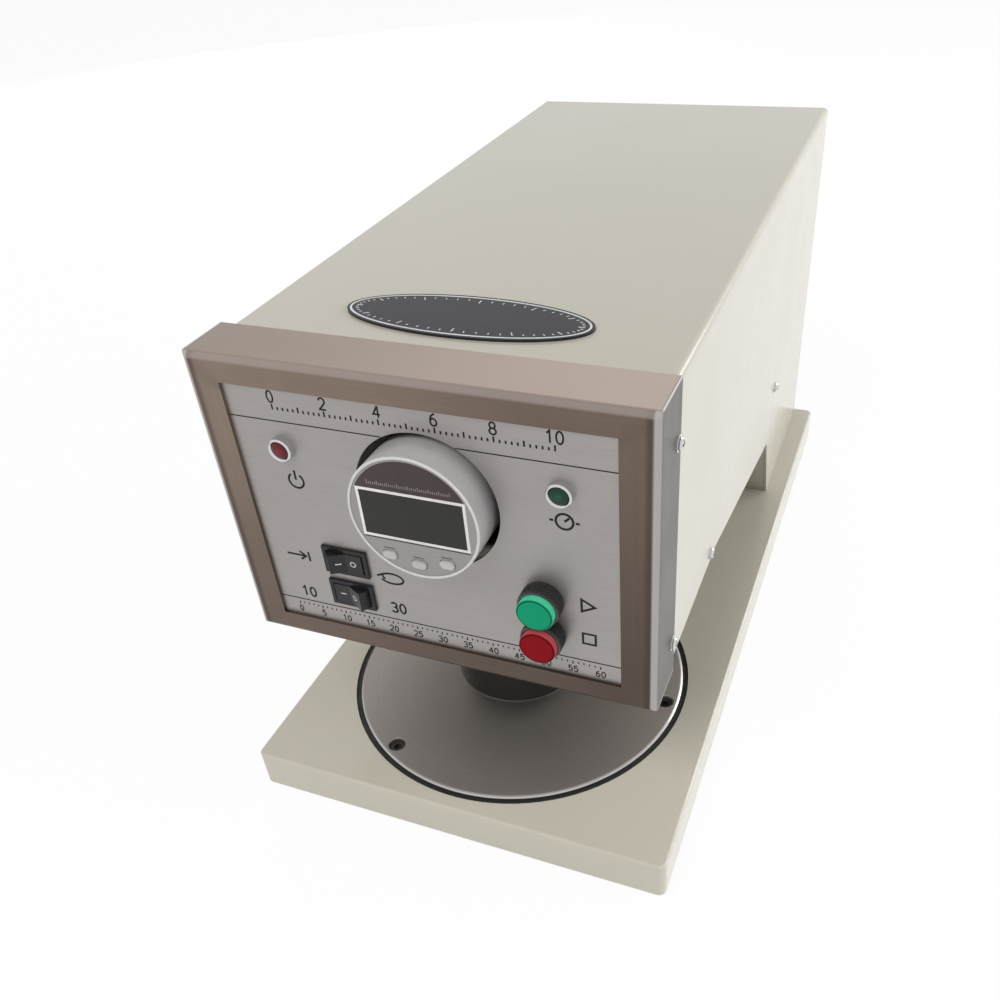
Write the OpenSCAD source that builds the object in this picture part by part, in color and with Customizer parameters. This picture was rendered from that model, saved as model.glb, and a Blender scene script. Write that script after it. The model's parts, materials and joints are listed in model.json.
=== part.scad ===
// Fabric thickness tester: a heavy base with a round ground platen, and a long sheet-metal head over it
// that holds a sliding presser foot, a digital gauge, a motor-driven lift cam and the control panel.
// Head parts are drawn from one datum: x from the centre plane, y from the front face of the bezel towards
// the back, z from the top face of the base. place() moves that datum into the part's frame, whose origin
// is the centre of the footprint, on the table.

/* [Base] */
// Width of the base plate
base_w = 223; // [215:1:240]
// Length of the base plate, front to back
base_l = 438; // [434:1:460]
// Thickness of the base plate
base_t = 23; // [22:1:40]
// Radius of the base plate's upright corners
base_corner = 4; // [3.5:0.5:10]
// Radius of the base plate's top edge
base_edge = 1.5; // [1:0.5:2.5]
// Height of the rubber feet below the base plate
foot_h = 5; // [3:1:8]
// Radius of a rubber foot
foot_r = 13; // [10:1:16]

/* [Platen] */
// Radius of the recess that the platen sits in
recess_r = 94; // [92:1:100]
// Radius of the ground platen
platen_r = 91; // [88:0.5:91.5]
// Height of the platen's face above the base
platen_rise = 1; // [0.5:0.5:2]
// Width of the platen's polished bevel
bevel_w = 1.2; // [0.6:0.2:3]
// Distance of the platen and the spindle behind the bezel's front
spindle_y = 79.6; // [76:0.1:84]

/* [Bezel and panel] */
// Width of the bezel
bezel_w = 200; // [198:1:202]
// Depth of the bezel, front to back
bezel_d = 28.5; // [27:0.5:32]
// Height of the bezel's lower edge above the base
bezel_z = 77.5; // [74:0.5:77.5]
// Height of the bezel's upper edge above the base
bezel_top = 224; // [224:0.5:228]
// Width of the bezel's front face at the sides
lip_side = 15.5; // [12:0.5:17]
// Width of the bezel's front face at the top
lip_top = 12; // [10:0.5:14]
// Width of the bezel's front face at the bottom
lip_low = 11.5; // [9:0.5:12]
// Depth of the panel behind the bezel's front, which is the thickness of its sheet
recess = 1.5; // [1:0.5:2]

/* [Head cover] */
// Width of the head cover
cover_w = 196.6; // [194:0.1:196.6]
// Height of the cover's top above the base
cover_top = 221.5; // [219:0.5:222]
// Distance of the cover's back edge behind the bezel's front
cover_back = 413.5; // [405:0.5:414]
// Thickness of the cover's sheet
sheet = 1.5; // [1:0.5:1.5]
// Outer radius of the cover's two long bends
bend_r = 3; // [2.5:0.5:10]
// Height of the head's underside above the base
throat_z = 80; // [80:1:81]
// Depth at which the underside starts to slope down
slope_y = 120; // [120:1:130]
// Depth of the throat's inner corner
corner_y = 276; // [260:1:280]
// Height of the throat's inner corner above the base
corner_z = 50; // [40:1:55]
// Depth of the column's front face at the base
column_y = 296; // [290:1:305]

/* [Gauge] */
// Sideways place of the gauge's centre
gauge_x = 2.7; // [-3:0.1:4]
// Height of the gauge's centre above the base
gauge_z = 168.4; // [167:0.1:170]
// Outer radius of the gauge
gauge_r = 29.1; // [29:0.1:30]
// Radius of the panel's hole round the gauge
gauge_hole_r = 32.3; // [32:0.1:33]
// Distance of the gauge's rim in front of the bezel's front
gauge_out = 11.6; // [9:0.1:12]
// Depth of the gauge's stem behind the bezel's front
stem_y = 15; // [14.5:0.5:15.5]

/* [Panel controls] */
// Distance of the indicator lamps from the centre plane
lamp_x = 61.5; // [58:0.5:68]
// Height of the indicator lamps above the base
lamp_z = 184.3; // [180:0.1:186]
// Sideways place of the two rocker switches
rocker_x = -43; // [-50:0.5:-42]
// Heights of the two rocker switches above the base
rocker_z = [128.2, 109.5]; // [100:0.1:130]
// Size of a rocker switch's frame
rocker_size = [22.2, 14.3]; // [14:0.1:24]
// Tilt of a rocker each way from its middle, in degrees
rocker_tilt = 14; // [8:1:14]
// Sideways place of the two push buttons
button_x = 51; // [46:0.5:54]
// Heights of the start and stop buttons above the base
button_z = [129.2, 110.8]; // [100:0.1:130]
// Radius of a push button's collar
collar_r = 9.1; // [8.9:0.1:9.1]
// Distance of a push button's collar in front of the bezel's front
collar_out = 6.4; // [4:0.1:8]
// Distance of a push button's face in front of its collar
button_out = 3.4; // [3.2:0.1:4]
// Travel of a push button
button_travel = 3; // [2:0.5:3]

/* [Presser] */
// Radius of the pressing face, which gives 2500 square millimetres
press_r = 28.2; // [25:0.1:29]
// Radius of the foot's body
presser_r = 34; // [31:0.5:35]
// Gap between the pressing face and the platen, as shown
rest_gap = 6; // [6:0.1:6.5]
// Radius of the spindle
spindle_r = 7; // [6:0.5:7]
// Radial running clearance of the sliding and turning fits
fit = 0.05; // [0.02:0.01:0.08]

/* [Lift drive] */
// Distance of the cam's axis behind the bezel's front
cam_y = 128; // [128:0.5:130]
// Height of the cam's axis above the base
cam_z = 163.7; // [163.5:0.1:164]
// Radius of the cam under the follower, as shown
cam_rest_r = 17; // [16:0.5:17]
// Degrees that the cam turns for each millimetre of lift
cam_rate = 20; // [18:1:20]
// Radius of the follower pin
pin_r = 4; // [3:0.5:4]

/* [Badge] */
// Length of the oval plate on the cover
badge_w = 112; // [90:1:120]
// Width of the oval plate on the cover
badge_d = 39; // [30:1:45]
// Distance of the oval plate's centre behind the bezel's front
badge_y = 61; // [56:1:80]

/* [Hidden] */
$fn = 64;
eps = 0.01;
deck_z = foot_h + base_t;
setback = 21.5;
bezel_y = setback - base_l / 2;
base_front = -setback;
base_back = base_l - setback;
skin = 1.5;
bezel_bend = 3;
cover_in_x = cover_w / 2 - sheet;
cover_front = 14;
panel_t = 2;
panel_half = bezel_w / 2 - skin - 0.3;
clip = 8;
panel_back = recess + panel_t;
platen_low = -10;
platen_bolt_r = 84;
counterbore_r = 4.3;
counterbore_low = platen_rise - 6;
platen_screw_r = 1.9;
side_screw_spots = [[24, 198.5], [24, 98]];
cover_screw_spots = [[106, 86], [286, 86]];
screw_r = 1.5;
screw_hole_r = 1.6;
screw_head = [2.8, 1.9];
washer_t = 0.5;
lamp_spots = [-lamp_x, lamp_x];
side_inset = 88;
foot_spots = [for (x = [-side_inset, side_inset], y = [base_front + 26, base_back - 26]) [x, y]];
foot_seat = 3;
foot_screw_r = 1.9;
foot_hole_r = 2.3;
foot_sink_r = 5.2;
column_half = 50;
column_front = 318;
column_back = 378;
arm_low = 112;
arm_top = 138;
arm_bolt_spots = [for (x = [-44, 44], y = [column_front + 14, column_back - 14]) [x, y]];
bolt_r = 3;
bolt_hole_r = 3.2;
bolt_thread_r = 3.05;
bolt_head = [5.4, 6];
bolt_sink = 8;
arm_half = 34;
clamp_back = 48;
bush_r = 13;
throat_half = 40;
press_z = platen_rise + rest_gap;
presser_low = press_z + 1.5;
presser_top = presser_low + 24;
spindle_low = presser_top + 11.5;
shoulder_z = 190;
collar_low = 148;
plunger_tip_z = 100.3;
plunger_r = 2;
plunger_l = 47;
stem_r = 4;
stem_low = 112;
stem_bore_l = 13;
lamp_r = 4;
lamp_body_r = 4.7;
weight_h = 22;
yoke_h = 10;
yoke_half = 8;
thread_r = 5;
shaft_r = 3;
press_fit = 0.02;
follower_z = cam_z + cam_rest_r + pin_r + 0.4;
rear_y = 402;
rear_sheet = 1.5;
rear_out = rear_y + rear_sheet;
rear_screw_spots = [for (x = [-side_inset, side_inset], z = [20, 200]) [x, z]];
rail_z = [6, 214];
vent_half = 16;
inlet_spot = [34, 44];
fuse_spot = [-4, 44];
power_spot = [-44, 44];

// Moves the head's datum to its place over the base.
module place() translate([0, bezel_y, deck_z]) children();

// The two ends of a stretch, from its middle and half its length.
function span(middle, half) = [middle - half, middle + half];

// A box between two corners.
module box(x, y, z) translate([x[0], y[0], z[0]]) cube([x[1] - x[0], y[1] - y[0], z[1] - z[0]]);

// Round bars along each axis, from a start point.
module bar_x(x, y, z, length, r) translate([x, y, z]) rotate([0, 90, 0]) cylinder(h = length, r = r);
module bar_y(x, y, z, length, r) translate([x, y, z]) rotate([-90, 0, 0]) cylinder(h = length, r = r);
module bar_z(x, y, z, length, r) translate([x, y, z]) cylinder(h = length, r = r);

// An outline of [y, z] points, drawn out sideways from x0 to x1.
module prism_x(x0, x1) translate([x0, 0, 0]) rotate([90, 0, 90]) linear_extrude(x1 - x0) children();

// A turned shape whose outline of [radius, y] points is spun round a line along y.
module turned_y(x, z) translate([x, 0, z]) rotate([-90, 0, 0]) rotate_extrude() children();

// A bar with half-round ends, w wide and h high, along y.
module slot_y(x, z, y, length, w, h) {
    box(span(x, (w - h) / 2), [y, y + length], span(z, h / 2));
    for (side = [-1, 1]) bar_y(x + side * (w - h) / 2, y, z, length, h / 2);
}

// A round-headed cross-slot screw: its head's seat is at z = 0 and its shank points down.
module pan_screw(head_r, head_h, shank_r, length) difference() {
    union() {
        rotate_extrude() polygon([
            [0, 0], [head_r, 0], [head_r, head_h * 0.45],
            for (a = [30 : 15 : 90]) [head_r * cos(a), head_h * (0.45 + 0.55 * sin(a))]
        ]);
        translate([0, 0, -length]) cylinder(h = length + eps, r = shank_r);
    }
    for (turn = [0, 90]) rotate(turn) translate([-head_r * 0.6, -0.4, head_h * 0.45])
        cube([head_r * 1.2, 0.8, head_h]);
}

// A socket-head screw: its head's seat is at z = 0 and its shank points down.
module socket_screw(head_r, head_h, shank_r, length) difference() {
    union() {
        rotate_extrude() polygon([
            [0, 0], [head_r, 0], [head_r, head_h - 0.4], [head_r - 0.4, head_h], [0, head_h]
        ]);
        translate([0, 0, -length]) cylinder(h = length + eps, r = shank_r);
    }
    translate([0, 0, head_h * 0.4]) cylinder(h = head_h, r = head_r * 0.55, $fn = 6);
}

// One rounded corner post of the base plate.
module base_post() rotate_extrude($fn = 32) polygon([
    [0, -base_t], [base_corner - 1, -base_t], [base_corner, 1 - base_t],
    for (a = [0 : 22.5 : 90]) [base_corner - base_edge * (1 - cos(a)), -base_edge * (1 - sin(a))],
    [0, 0]
]);

// Places its children at the three platen screws.
module at_platen_screws() for (a = [0, 120, 240])
    translate([platen_bolt_r * cos(a), spindle_y + platen_bolt_r * sin(a), 0]) children();

module base_plate() place() color([0.76, 0.75, 0.70]) difference() {
    hull() for (x = [-1, 1], y = [base_front + base_corner, base_back - base_corner])
        translate([x * (base_w / 2 - base_corner), y, 0]) base_post();
    bar_z(0, spindle_y, platen_low, -platen_low + 1, recess_r);
    at_platen_screws() translate([0, 0, platen_low - 10]) cylinder(h = 11, r = platen_screw_r + 0.1);
    for (s = arm_bolt_spots) {
        bar_z(s[0], s[1], -base_t - 1, base_t + 2, bolt_hole_r);
        bar_z(s[0], s[1], -base_t - 1, bolt_sink + 1, bolt_head[0] + 0.4);
    }
    for (s = foot_spots) bar_z(s[0], s[1], -base_t - 1, 11, foot_screw_r + 0.1);
}

module rubber_feet() place() color([0.09, 0.09, 0.09]) for (s = foot_spots) translate([s[0], s[1], -base_t])
    rotate_extrude() polygon([
        [foot_hole_r, 0], [foot_r, 0], [foot_r - 1.5, -foot_h], [foot_sink_r, -foot_h],
        [foot_sink_r, foot_seat - foot_h], [foot_hole_r, foot_seat - foot_h]
    ]);

module foot_screws() place() color([0.6, 0.6, 0.62]) for (s = foot_spots)
    translate([s[0], s[1], foot_seat - foot_h - base_t]) mirror([0, 0, 1])
        pan_screw(4.2, 2, foot_screw_r, 10);

module platen() place() color([0.45, 0.43, 0.42]) difference() {
    translate([0, spindle_y, 0]) rotate_extrude($fn = 96) polygon([
        [0, platen_low], [platen_r, platen_low], [platen_r, platen_rise - 1],
        [platen_r - bevel_w, platen_rise], [0, platen_rise]
    ]);
    at_platen_screws() {
        translate([0, 0, platen_low - 1]) cylinder(h = 14, r = platen_screw_r + 0.3);
        translate([0, 0, counterbore_low]) cylinder(h = 8, r = counterbore_r);
        translate([0, 0, platen_rise - 0.6]) cylinder(h = 0.7, r1 = counterbore_r, r2 = counterbore_r + 0.5);
    }
}

module platen_seal() place() color([0.05, 0.05, 0.05]) translate([0, spindle_y, 0]) rotate_extrude($fn = 96)
    polygon([
        [platen_r + 0.1, platen_low], [recess_r - 0.1, platen_low],
        [recess_r - 0.1, -1.2], [platen_r + 0.1, -1.2]
    ]);

module platen_screws() place() color([0.12, 0.12, 0.12]) at_platen_screws()
    translate([0, 0, counterbore_low]) socket_screw(counterbore_r - 0.3, 4, platen_screw_r, 14);

module column() place() color([0.33, 0.38, 0.36]) difference() {
    box(span(0, column_half), [column_front, column_back], [0, arm_low]);
    box(span(0, 38), [column_front + 12, column_back + 1], [-1, arm_low - 12]);
    for (s = arm_bolt_spots) {
        bar_z(s[0], s[1], -1, 17, bolt_thread_r);
        bar_z(s[0], s[1], arm_low - 18, 19, bolt_thread_r);
    }
}

module arm_bolt(length) socket_screw(bolt_head[0], bolt_head[1], bolt_r, length);

module column_bolts() place() color([0.2, 0.2, 0.2]) for (s = arm_bolt_spots)
    translate([s[0], s[1], bolt_sink - base_t]) mirror([0, 0, 1]) arm_bolt(base_t + 6);

module overarm() place() color([0.33, 0.38, 0.36]) difference() {
    union() {
        box(span(0, arm_half), [clamp_back, column_front + 1], [arm_low, arm_top]);
        box(span(0, column_half), [column_front, column_back], [arm_low, arm_top]);
    }
    bar_z(0, spindle_y, arm_low - 1, arm_top - arm_low + 2, bush_r);
    for (s = arm_bolt_spots) bar_z(s[0], s[1], arm_low - 1, arm_top - arm_low + 2, bolt_hole_r);
    box(span(0, 24), [160, 300], [arm_low - 1, arm_top - 8]);
}

module overarm_bolts() place() color([0.2, 0.2, 0.2]) for (s = arm_bolt_spots)
    translate([s[0], s[1], arm_top]) arm_bolt(40);

// The cover's solid outline: two long bends joined by a flat top and two walls.
module cover_form(half, top, r, y) {
    box(span(0, half), y, [-1, top - r]);
    box([r - half, half - r], y, [top - r - 1, top]);
    for (side = [-1, 1]) bar_y(side * (half - r), y[0], top - r, y[1] - y[0], r);
}

module head_cover() place() color([0.76, 0.75, 0.70]) difference() {
    cover_form(cover_w / 2, cover_top, bend_r, [cover_front, cover_back]);
    cover_form(cover_in_x, cover_top - sheet, bend_r - sheet, [cover_front - 1, cover_back + 1]);
    prism_x(-base_w / 2, base_w / 2) polygon([
        [0, -2], [0, throat_z], [slope_y, throat_z], [corner_y, corner_z], [column_y, 0], [column_y, -2]
    ]);
    box(span(0, base_w / 2), [column_y - 1, cover_back + 1], [-2, 0]);
    for (s = concat(side_screw_spots, cover_screw_spots))
        bar_x(-base_w / 2, s[0], s[1], base_w, screw_hole_r);
}

module throat_plate() place() color([0.76, 0.75, 0.70]) difference() {
    prism_x(0.2 - cover_in_x, cover_in_x - 0.2) polygon([
        [26, bezel_z + skin + 0.1], [26 + skin, bezel_z + skin + 0.1], [26 + skin, throat_z],
        [slope_y, throat_z], [corner_y, corner_z], [column_y, 0],
        [column_y + skin, 0], [corner_y + skin, corner_z + skin], [slope_y + 0.3, throat_z + skin],
        [26, throat_z + skin]
    ]);
    box(span(0, throat_half), span(spindle_y, throat_half), span(throat_z, 4));
}

module rear_panel() place() color([0.76, 0.75, 0.70]) difference() {
    cover_form(cover_in_x - 0.2, cover_top - sheet - 0.2, bend_r - sheet + 0.2, [rear_y, rear_out]);
    rear_cut(span(0, cover_in_x), [-2, 0.2]);
    rear_cut(span(inlet_spot[0], 14), span(inlet_spot[1], 10));
    rear_cut(span(power_spot[0], 10), span(power_spot[1], 6.5));
    rear_hole(fuse_spot[0], fuse_spot[1], 6.2);
    for (s = rear_screw_spots) rear_hole(s[0], s[1], screw_hole_r);
    for (x = [-48 : 12 : 48]) upright_slot(x, 150);
}

// Openings through the rear panel.
module rear_cut(x, z) box(x, [rear_y - 1, rear_out + 1], z);
module rear_hole(x, z, r) bar_y(x, rear_y - 1, z, rear_sheet + 2, r);
module upright_slot(x, z) {
    rear_cut(span(x, 2), span(z, vent_half));
    for (end = [-vent_half, vent_half]) rear_hole(x, z + end, 2);
}

module rear_rails() place() color([0.6, 0.6, 0.6]) for (side = [-1, 1]) to_side(side) difference() {
    union() {
        box([cover_in_x - 0.2 - sheet, cover_in_x - 0.2], [rear_y - 14, rear_y], rail_z);
        box([side_inset - 6, cover_in_x - 0.2 - sheet], [rear_y - sheet, rear_y], rail_z);
    }
    for (s = rear_screw_spots) bar_y(side_inset, rear_y - 3, s[1], 4, screw_hole_r);
}

// Mirrors its children to the left when the side is -1.
module to_side(side) if (side > 0) children(); else mirror([1, 0, 0]) children();

module side_screw(length) pan_screw(screw_head[0], screw_head[1], screw_r, length);

module rear_screws() place() color([0.7, 0.7, 0.72]) for (s = rear_screw_spots)
    translate([s[0], rear_out, s[1]]) rotate([-90, 0, 0]) side_screw(7);

// The bezel's two sheets, each bent round at the front: one runs across it, the other up it.
module bezel_across() {
    x = span(0, bezel_w / 2);
    box(x, [bezel_bend, bezel_d], [bezel_z, bezel_top]);
    box(x, [0, bezel_d], [bezel_z + bezel_bend, bezel_top - bezel_bend]);
    for (z = [bezel_z + bezel_bend, bezel_top - bezel_bend]) bar_x(x[0], bezel_bend, z, bezel_w, bezel_bend);
}

module bezel_upright() {
    x = bezel_w / 2 - bezel_bend;
    z = [bezel_z, bezel_top];
    box(span(0, bezel_w / 2), [bezel_bend, bezel_d], z);
    box(span(0, x), [0, bezel_d], z);
    for (side = [-1, 1]) bar_z(side * x, bezel_bend, bezel_z, bezel_top - bezel_z, bezel_bend);
}

// The sheets meet in sharp welded corners.
module bezel_frame() place() color([0.52, 0.47, 0.43]) difference() {
    intersection() {
        bezel_across();
        bezel_upright();
    }
    box(span(0, bezel_w / 2 - skin), [recess, bezel_d + 1], [bezel_z + skin, bezel_top - skin]);
    box(span(0, bezel_w / 2 - lip_side), [-1, recess + 1], [bezel_z + lip_low, bezel_top - lip_top]);
    for (s = side_screw_spots) bar_x(-base_w / 2, s[0], s[1], base_w, screw_hole_r);
}

// Places its children on a side wall, with z pointing out of it.
module on_wall(side, x, spot) translate([side * x, spot[0], spot[1]]) rotate([0, side * 90, 0]) children();

module bezel_screws() place() color([0.75, 0.75, 0.77]) for (side = [-1, 1], s = side_screw_spots)
    on_wall(side, bezel_w / 2 + washer_t, s) side_screw(8);

module cover_screws() place() color([0.75, 0.75, 0.77]) for (side = [-1, 1], s = cover_screw_spots)
    on_wall(side, cover_w / 2 + washer_t, s) side_screw(8);

module washer() difference() {
    cylinder(h = washer_t, r = 3.5);
    translate([0, 0, -1]) cylinder(h = 2, r = screw_hole_r);
}

module side_washers() place() color([0.7, 0.7, 0.72]) for (side = [-1, 1]) {
    for (s = side_screw_spots) on_wall(side, bezel_w / 2, s) washer();
    for (s = cover_screw_spots) on_wall(side, cover_w / 2, s) washer();
}

module panel_plate() place() color([0.68, 0.66, 0.65]) difference() {
    box(span(0, panel_half), [recess, panel_back], [bezel_z + skin + 0.3, bezel_top - skin - 0.3]);
    bar_y(gauge_x, recess - 1, gauge_z, panel_t + 2, gauge_hole_r);
    for (x = lamp_spots) bar_y(x, recess - 1, lamp_z, panel_t + 2, lamp_body_r + 0.1);
    for (z = rocker_z) box(span(rocker_x, 10), [recess - 1, panel_back + 1], span(z, 6.5));
    for (z = button_z) bar_y(button_x, recess - 1, z, panel_t + 2, 8);
}

module panel_clips() place() color([0.6, 0.6, 0.6])
    for (x = [-panel_half, panel_half - clip], z = [bezel_z + 4, bezel_top - 4 - clip])
        box([x, x + clip], [panel_back, cover_front - 0.2], [z, z + clip]);

module badge_plate() place() color([0.16, 0.17, 0.18]) translate([0, badge_y, cover_top])
    linear_extrude(1.1) polygon([for (a = [0 : 5 : 355]) [badge_w / 2 * cos(a), badge_d / 2 * sin(a)]]);

module lamp_collars() place() color([0.75, 0.75, 0.75]) for (x = lamp_spots) turned_y(x, lamp_z) polygon([
    [lamp_r + fit, recess - 3], [4.5, recess - 3.6], [5, recess - 3.6], [5.4, recess - 3.2], [5.6, recess],
    [lamp_body_r, recess], [lamp_body_r, 18], [lamp_r + fit, 18]
]);

// A lamp's domed lens on its round body.
module lamp_lens(x) turned_y(x, lamp_z) polygon([
    for (a = [90 : -15 : 0]) [lamp_r * cos(a), recess - 2.9 - 0.9 * sin(a)],
    [lamp_r, 16], [0, 16]
]);

module red_lamp() place() color([0.55, 0.04, 0.07]) lamp_lens(lamp_spots[0]);
module green_lamp() place() color([0.04, 0.32, 0.16]) lamp_lens(lamp_spots[1]);

// Centres of the gauge's three keys, from the gauge's centre, and the size of their holes.
key_spots = [[-13.3, -20], [-0.2, -22.4], [12.8, -19.7]];
key_hole = [7.2, 4.6];
module key_bar(k, y, length, size)
    slot_y(gauge_x + k[0], gauge_z + k[1], y, length, size[0], size[1]);

module gauge_case() place() color([0.78, 0.78, 0.78]) difference() {
    turned_y(gauge_x, gauge_z) polygon([
        [0, 1.3 - gauge_out], [gauge_r - 1.3, 1.3 - gauge_out], [gauge_r - 1.3, 0.3 - gauge_out],
        [gauge_r - 1, -gauge_out], [gauge_r - 0.4, -gauge_out], [gauge_r, 0.4 - gauge_out],
        [gauge_r, 21], [gauge_r - 1, 22], [20, 22], [20, 25], [19, 26], [0, 26]
    ]);
    bar_z(gauge_x, stem_y, gauge_z - 40, stem_bore_l, stem_r);
    bar_z(gauge_x, stem_y, gauge_z - 40, 35, plunger_r + 0.6);
    for (k = key_spots) key_bar(k, 1 - gauge_out, 3.2, key_hole);
}

// The window's outline: a rectangle round the display, and a round-topped shade above it.
module window_outline(grow) {
    translate([-24 - grow, -12.3 - grow]) square([48 + 2 * grow, 24.6 + 2 * grow]);
    intersection() {
        circle(r = 26.8 + grow);
        translate([-30, 12]) square([60, 30]);
    }
}

// An outline of [x, z] points round the gauge's centre, drawn back from y.
module on_gauge(y, depth)
    translate([gauge_x, y + depth, gauge_z]) rotate([90, 0, 0]) linear_extrude(depth) children();

module gauge_face() place() color([0.62, 0.60, 0.59]) difference() {
    bar_y(gauge_x, 0.5 - gauge_out, gauge_z, 0.75, gauge_r - 1.4);
    on_gauge(-gauge_out, 3) window_outline(0.1);
    for (k = key_spots) key_bar(k, -gauge_out, 3, key_hole);
}

// The display is a rectangle, a little above the gauge's centre.
display_half = 22.8;
module display_box(grow, y, depth) box(
    span(gauge_x, display_half + grow), [y, y + depth], span(gauge_z + 0.2, 10.6 + grow)
);

module gauge_window() place() color([0.2, 0.14, 0.13]) difference() {
    on_gauge(0.6 - gauge_out, 0.65) window_outline(0);
    display_box(0.1, -gauge_out, 3);
}

module gauge_display() place() color([0.2, 0.2, 0.17])
    display_box(0, 0.75 - gauge_out, 0.5);

module gauge_stem() place() color([0.7, 0.7, 0.72]) difference() {
    bar_z(gauge_x, stem_y, stem_low, gauge_z - 40 + stem_bore_l - stem_low, stem_r - 0.04);
    bar_z(gauge_x, stem_y, stem_low - 1, 40, plunger_r + fit);
}

module gauge_clamp() place() color([0.35, 0.35, 0.36]) difference() {
    box(span(gauge_x, 9), [stem_y - 7, clamp_back], [stem_low + 3, stem_low + 19]);
    bar_z(gauge_x, stem_y, stem_low + 2, 18, stem_r);
    box(span(gauge_x, 0.6), [stem_y - 8, stem_y], [stem_low + 2, stem_low + 20]);
}

module gauge_plunger() place() color([0.7, 0.7, 0.72]) {
    bar_z(gauge_x, stem_y, plunger_tip_z + 2, plunger_l, plunger_r);
    translate([gauge_x, stem_y, plunger_tip_z]) rotate_extrude() polygon([
        [0, 0], [1.2, 0.25], [2.2, 1.2], [2.5, 2.4], [2.2, 3.6], [0, 4.2]
    ]);
}

// One key of the gauge, with softened edges.
module gauge_key(k) {
    key_bar(k, -gauge_out - 0.3, 0.4, key_hole - [1, 1]);
    key_bar(k, -gauge_out, 2.6, key_hole - [0.4, 0.4]);
}

module gauge_key_left() place() color([0.8, 0.8, 0.8]) gauge_key(key_spots[0]);
module gauge_key_middle() place() color([0.8, 0.8, 0.8]) gauge_key(key_spots[1]);
module gauge_key_right() place() color([0.8, 0.8, 0.8]) gauge_key(key_spots[2]);

// A rocker switch is drawn from the middle of its opening on the panel's front, facing -y. It turns on two
// stub pins, and its ends are arcs round that pivot.
pivot_in = 1.5;
rocker_arc = 9.25;
rocker_dip = 3.3;

module rocker_frame() difference() {
    w = rocker_size[0];
    h = rocker_size[1];
    union() {
        box(span(0, w / 2), [-1.4, 0], span(0, h / 2));
        box(span(0, 9.8), [0, 16], span(0, 6.3));
    }
    box(span(0, rocker_arc + 0.1), [-2, 12], span(0, 5.2));
    bar_z(0, pivot_in, -6, 12, 1 + fit);
}

// A positive tilt brings the rocker's -x end forward.
module rocker(tilt) translate([0, pivot_in, 0]) rotate([0, 0, tilt]) {
    translate([0, 0, -5]) linear_extrude(10) intersection() {
        circle(r = rocker_arc);
        polygon([
            [0, -rocker_dip], [-12, -rocker_dip - 12 * tan(rocker_tilt)], [-12, 1], [-5, 5],
            [5, 5], [12, 1], [12, -rocker_dip - 12 * tan(rocker_tilt)]
        ]);
    }
    translate([0, 0, -5.8]) cylinder(h = 11.6, r = 1);
}

module at_rocker(i) translate([rocker_x, recess, rocker_z[i]]) children();
module at_power_switch() translate([power_spot[0], rear_out, power_spot[1]]) rotate(180) children();

module rocker_frames() place() color([0.07, 0.07, 0.08]) for (i = [0, 1]) at_rocker(i) rocker_frame();
module upper_rocker() place() color([0.1, 0.1, 0.11]) at_rocker(0) rocker(rocker_tilt);
module lower_rocker() place() color([0.1, 0.1, 0.11]) at_rocker(1) rocker(-rocker_tilt);
module power_switch_frame() place() color([0.07, 0.07, 0.08]) at_power_switch() rocker_frame();
module power_rocker() place() color([0.1, 0.1, 0.11]) at_power_switch() rocker(-rocker_tilt);

// A push button's collar stands in front of the panel, and its housing runs back behind it.
cap_back = 2.4 - collar_out;
cap_floor = cap_back + button_travel + 0.7;
module collar(z) turned_y(button_x, z) polygon([
    [8.4, 0.2 - collar_out], [8.6, -collar_out], [collar_r - 0.4, -collar_out], [collar_r, 0.5 - collar_out],
    [collar_r, recess], [7.8, recess], [7.8, 28], [4, 28], [4, cap_floor], [8.4, cap_floor]
]);

module button(z) turned_y(button_x, z) polygon([
    [0, -collar_out - button_out], [7.6, -collar_out - button_out], [8.1, 0.5 - collar_out - button_out],
    [8.1, cap_back], [4 - fit, cap_back], [4 - fit, 24], [0, 24]
]);

module button_collars() place() color([0.08, 0.08, 0.08]) for (z = button_z) collar(z);
module start_button() place() color([0.1, 0.68, 0.48]) button(button_z[0]);
module stop_button() place() color([0.75, 0.05, 0.14]) button(button_z[1]);

module presser_foot() place() color([0.5, 0.49, 0.48]) translate([0, spindle_y, 0]) rotate_extrude($fn = 96)
    polygon([
        [0, press_z], [press_r, press_z], [press_r, presser_low], [presser_r - 1, presser_low],
        [presser_r, presser_low + 0.9], [presser_r, presser_top - 1], [presser_r - 1, presser_top],
        [12, presser_top], [12, spindle_low], [thread_r + fit, spindle_low],
        [thread_r + fit, presser_top - 9], [0, presser_top - 9]
    ]);

// The spindle steps down into the foot, has a collar that carries the weight, and a shoulder under the yoke.
module spindle() place() color([0.72, 0.72, 0.73]) translate([0, spindle_y, 0]) rotate_extrude() polygon([
    [0, presser_top - 8.5], [thread_r, presser_top - 8.5], [thread_r, spindle_low], [spindle_r, spindle_low],
    [spindle_r, collar_low], [12, collar_low], [12, collar_low + 4], [spindle_r, collar_low + 4],
    [spindle_r, shoulder_z], [thread_r, shoulder_z], [thread_r, shoulder_z + 17.5],
    [thread_r - 0.5, shoulder_z + 18], [0, shoulder_z + 18]
]);

module guide_bush() place() color([0.72, 0.55, 0.28]) translate([0, spindle_y, 0]) rotate_extrude() polygon([
    [spindle_r + fit, arm_low - 2], [bush_r - 0.05, arm_low - 2], [bush_r - 0.05, arm_top],
    [bush_r + 3, arm_top], [bush_r + 3, arm_top + 3],
    [spindle_r + fit, arm_top + 3]
]);

module gauge_arm() place() color([0.5, 0.5, 0.5]) difference() {
    union() {
        bar_z(0, spindle_y, 90, 10, 14);
        box(span(gauge_x, 6), [stem_y - 6, spindle_y], [90, 100]);
    }
    bar_z(0, spindle_y, 89, 12, spindle_r + press_fit);
}

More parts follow.
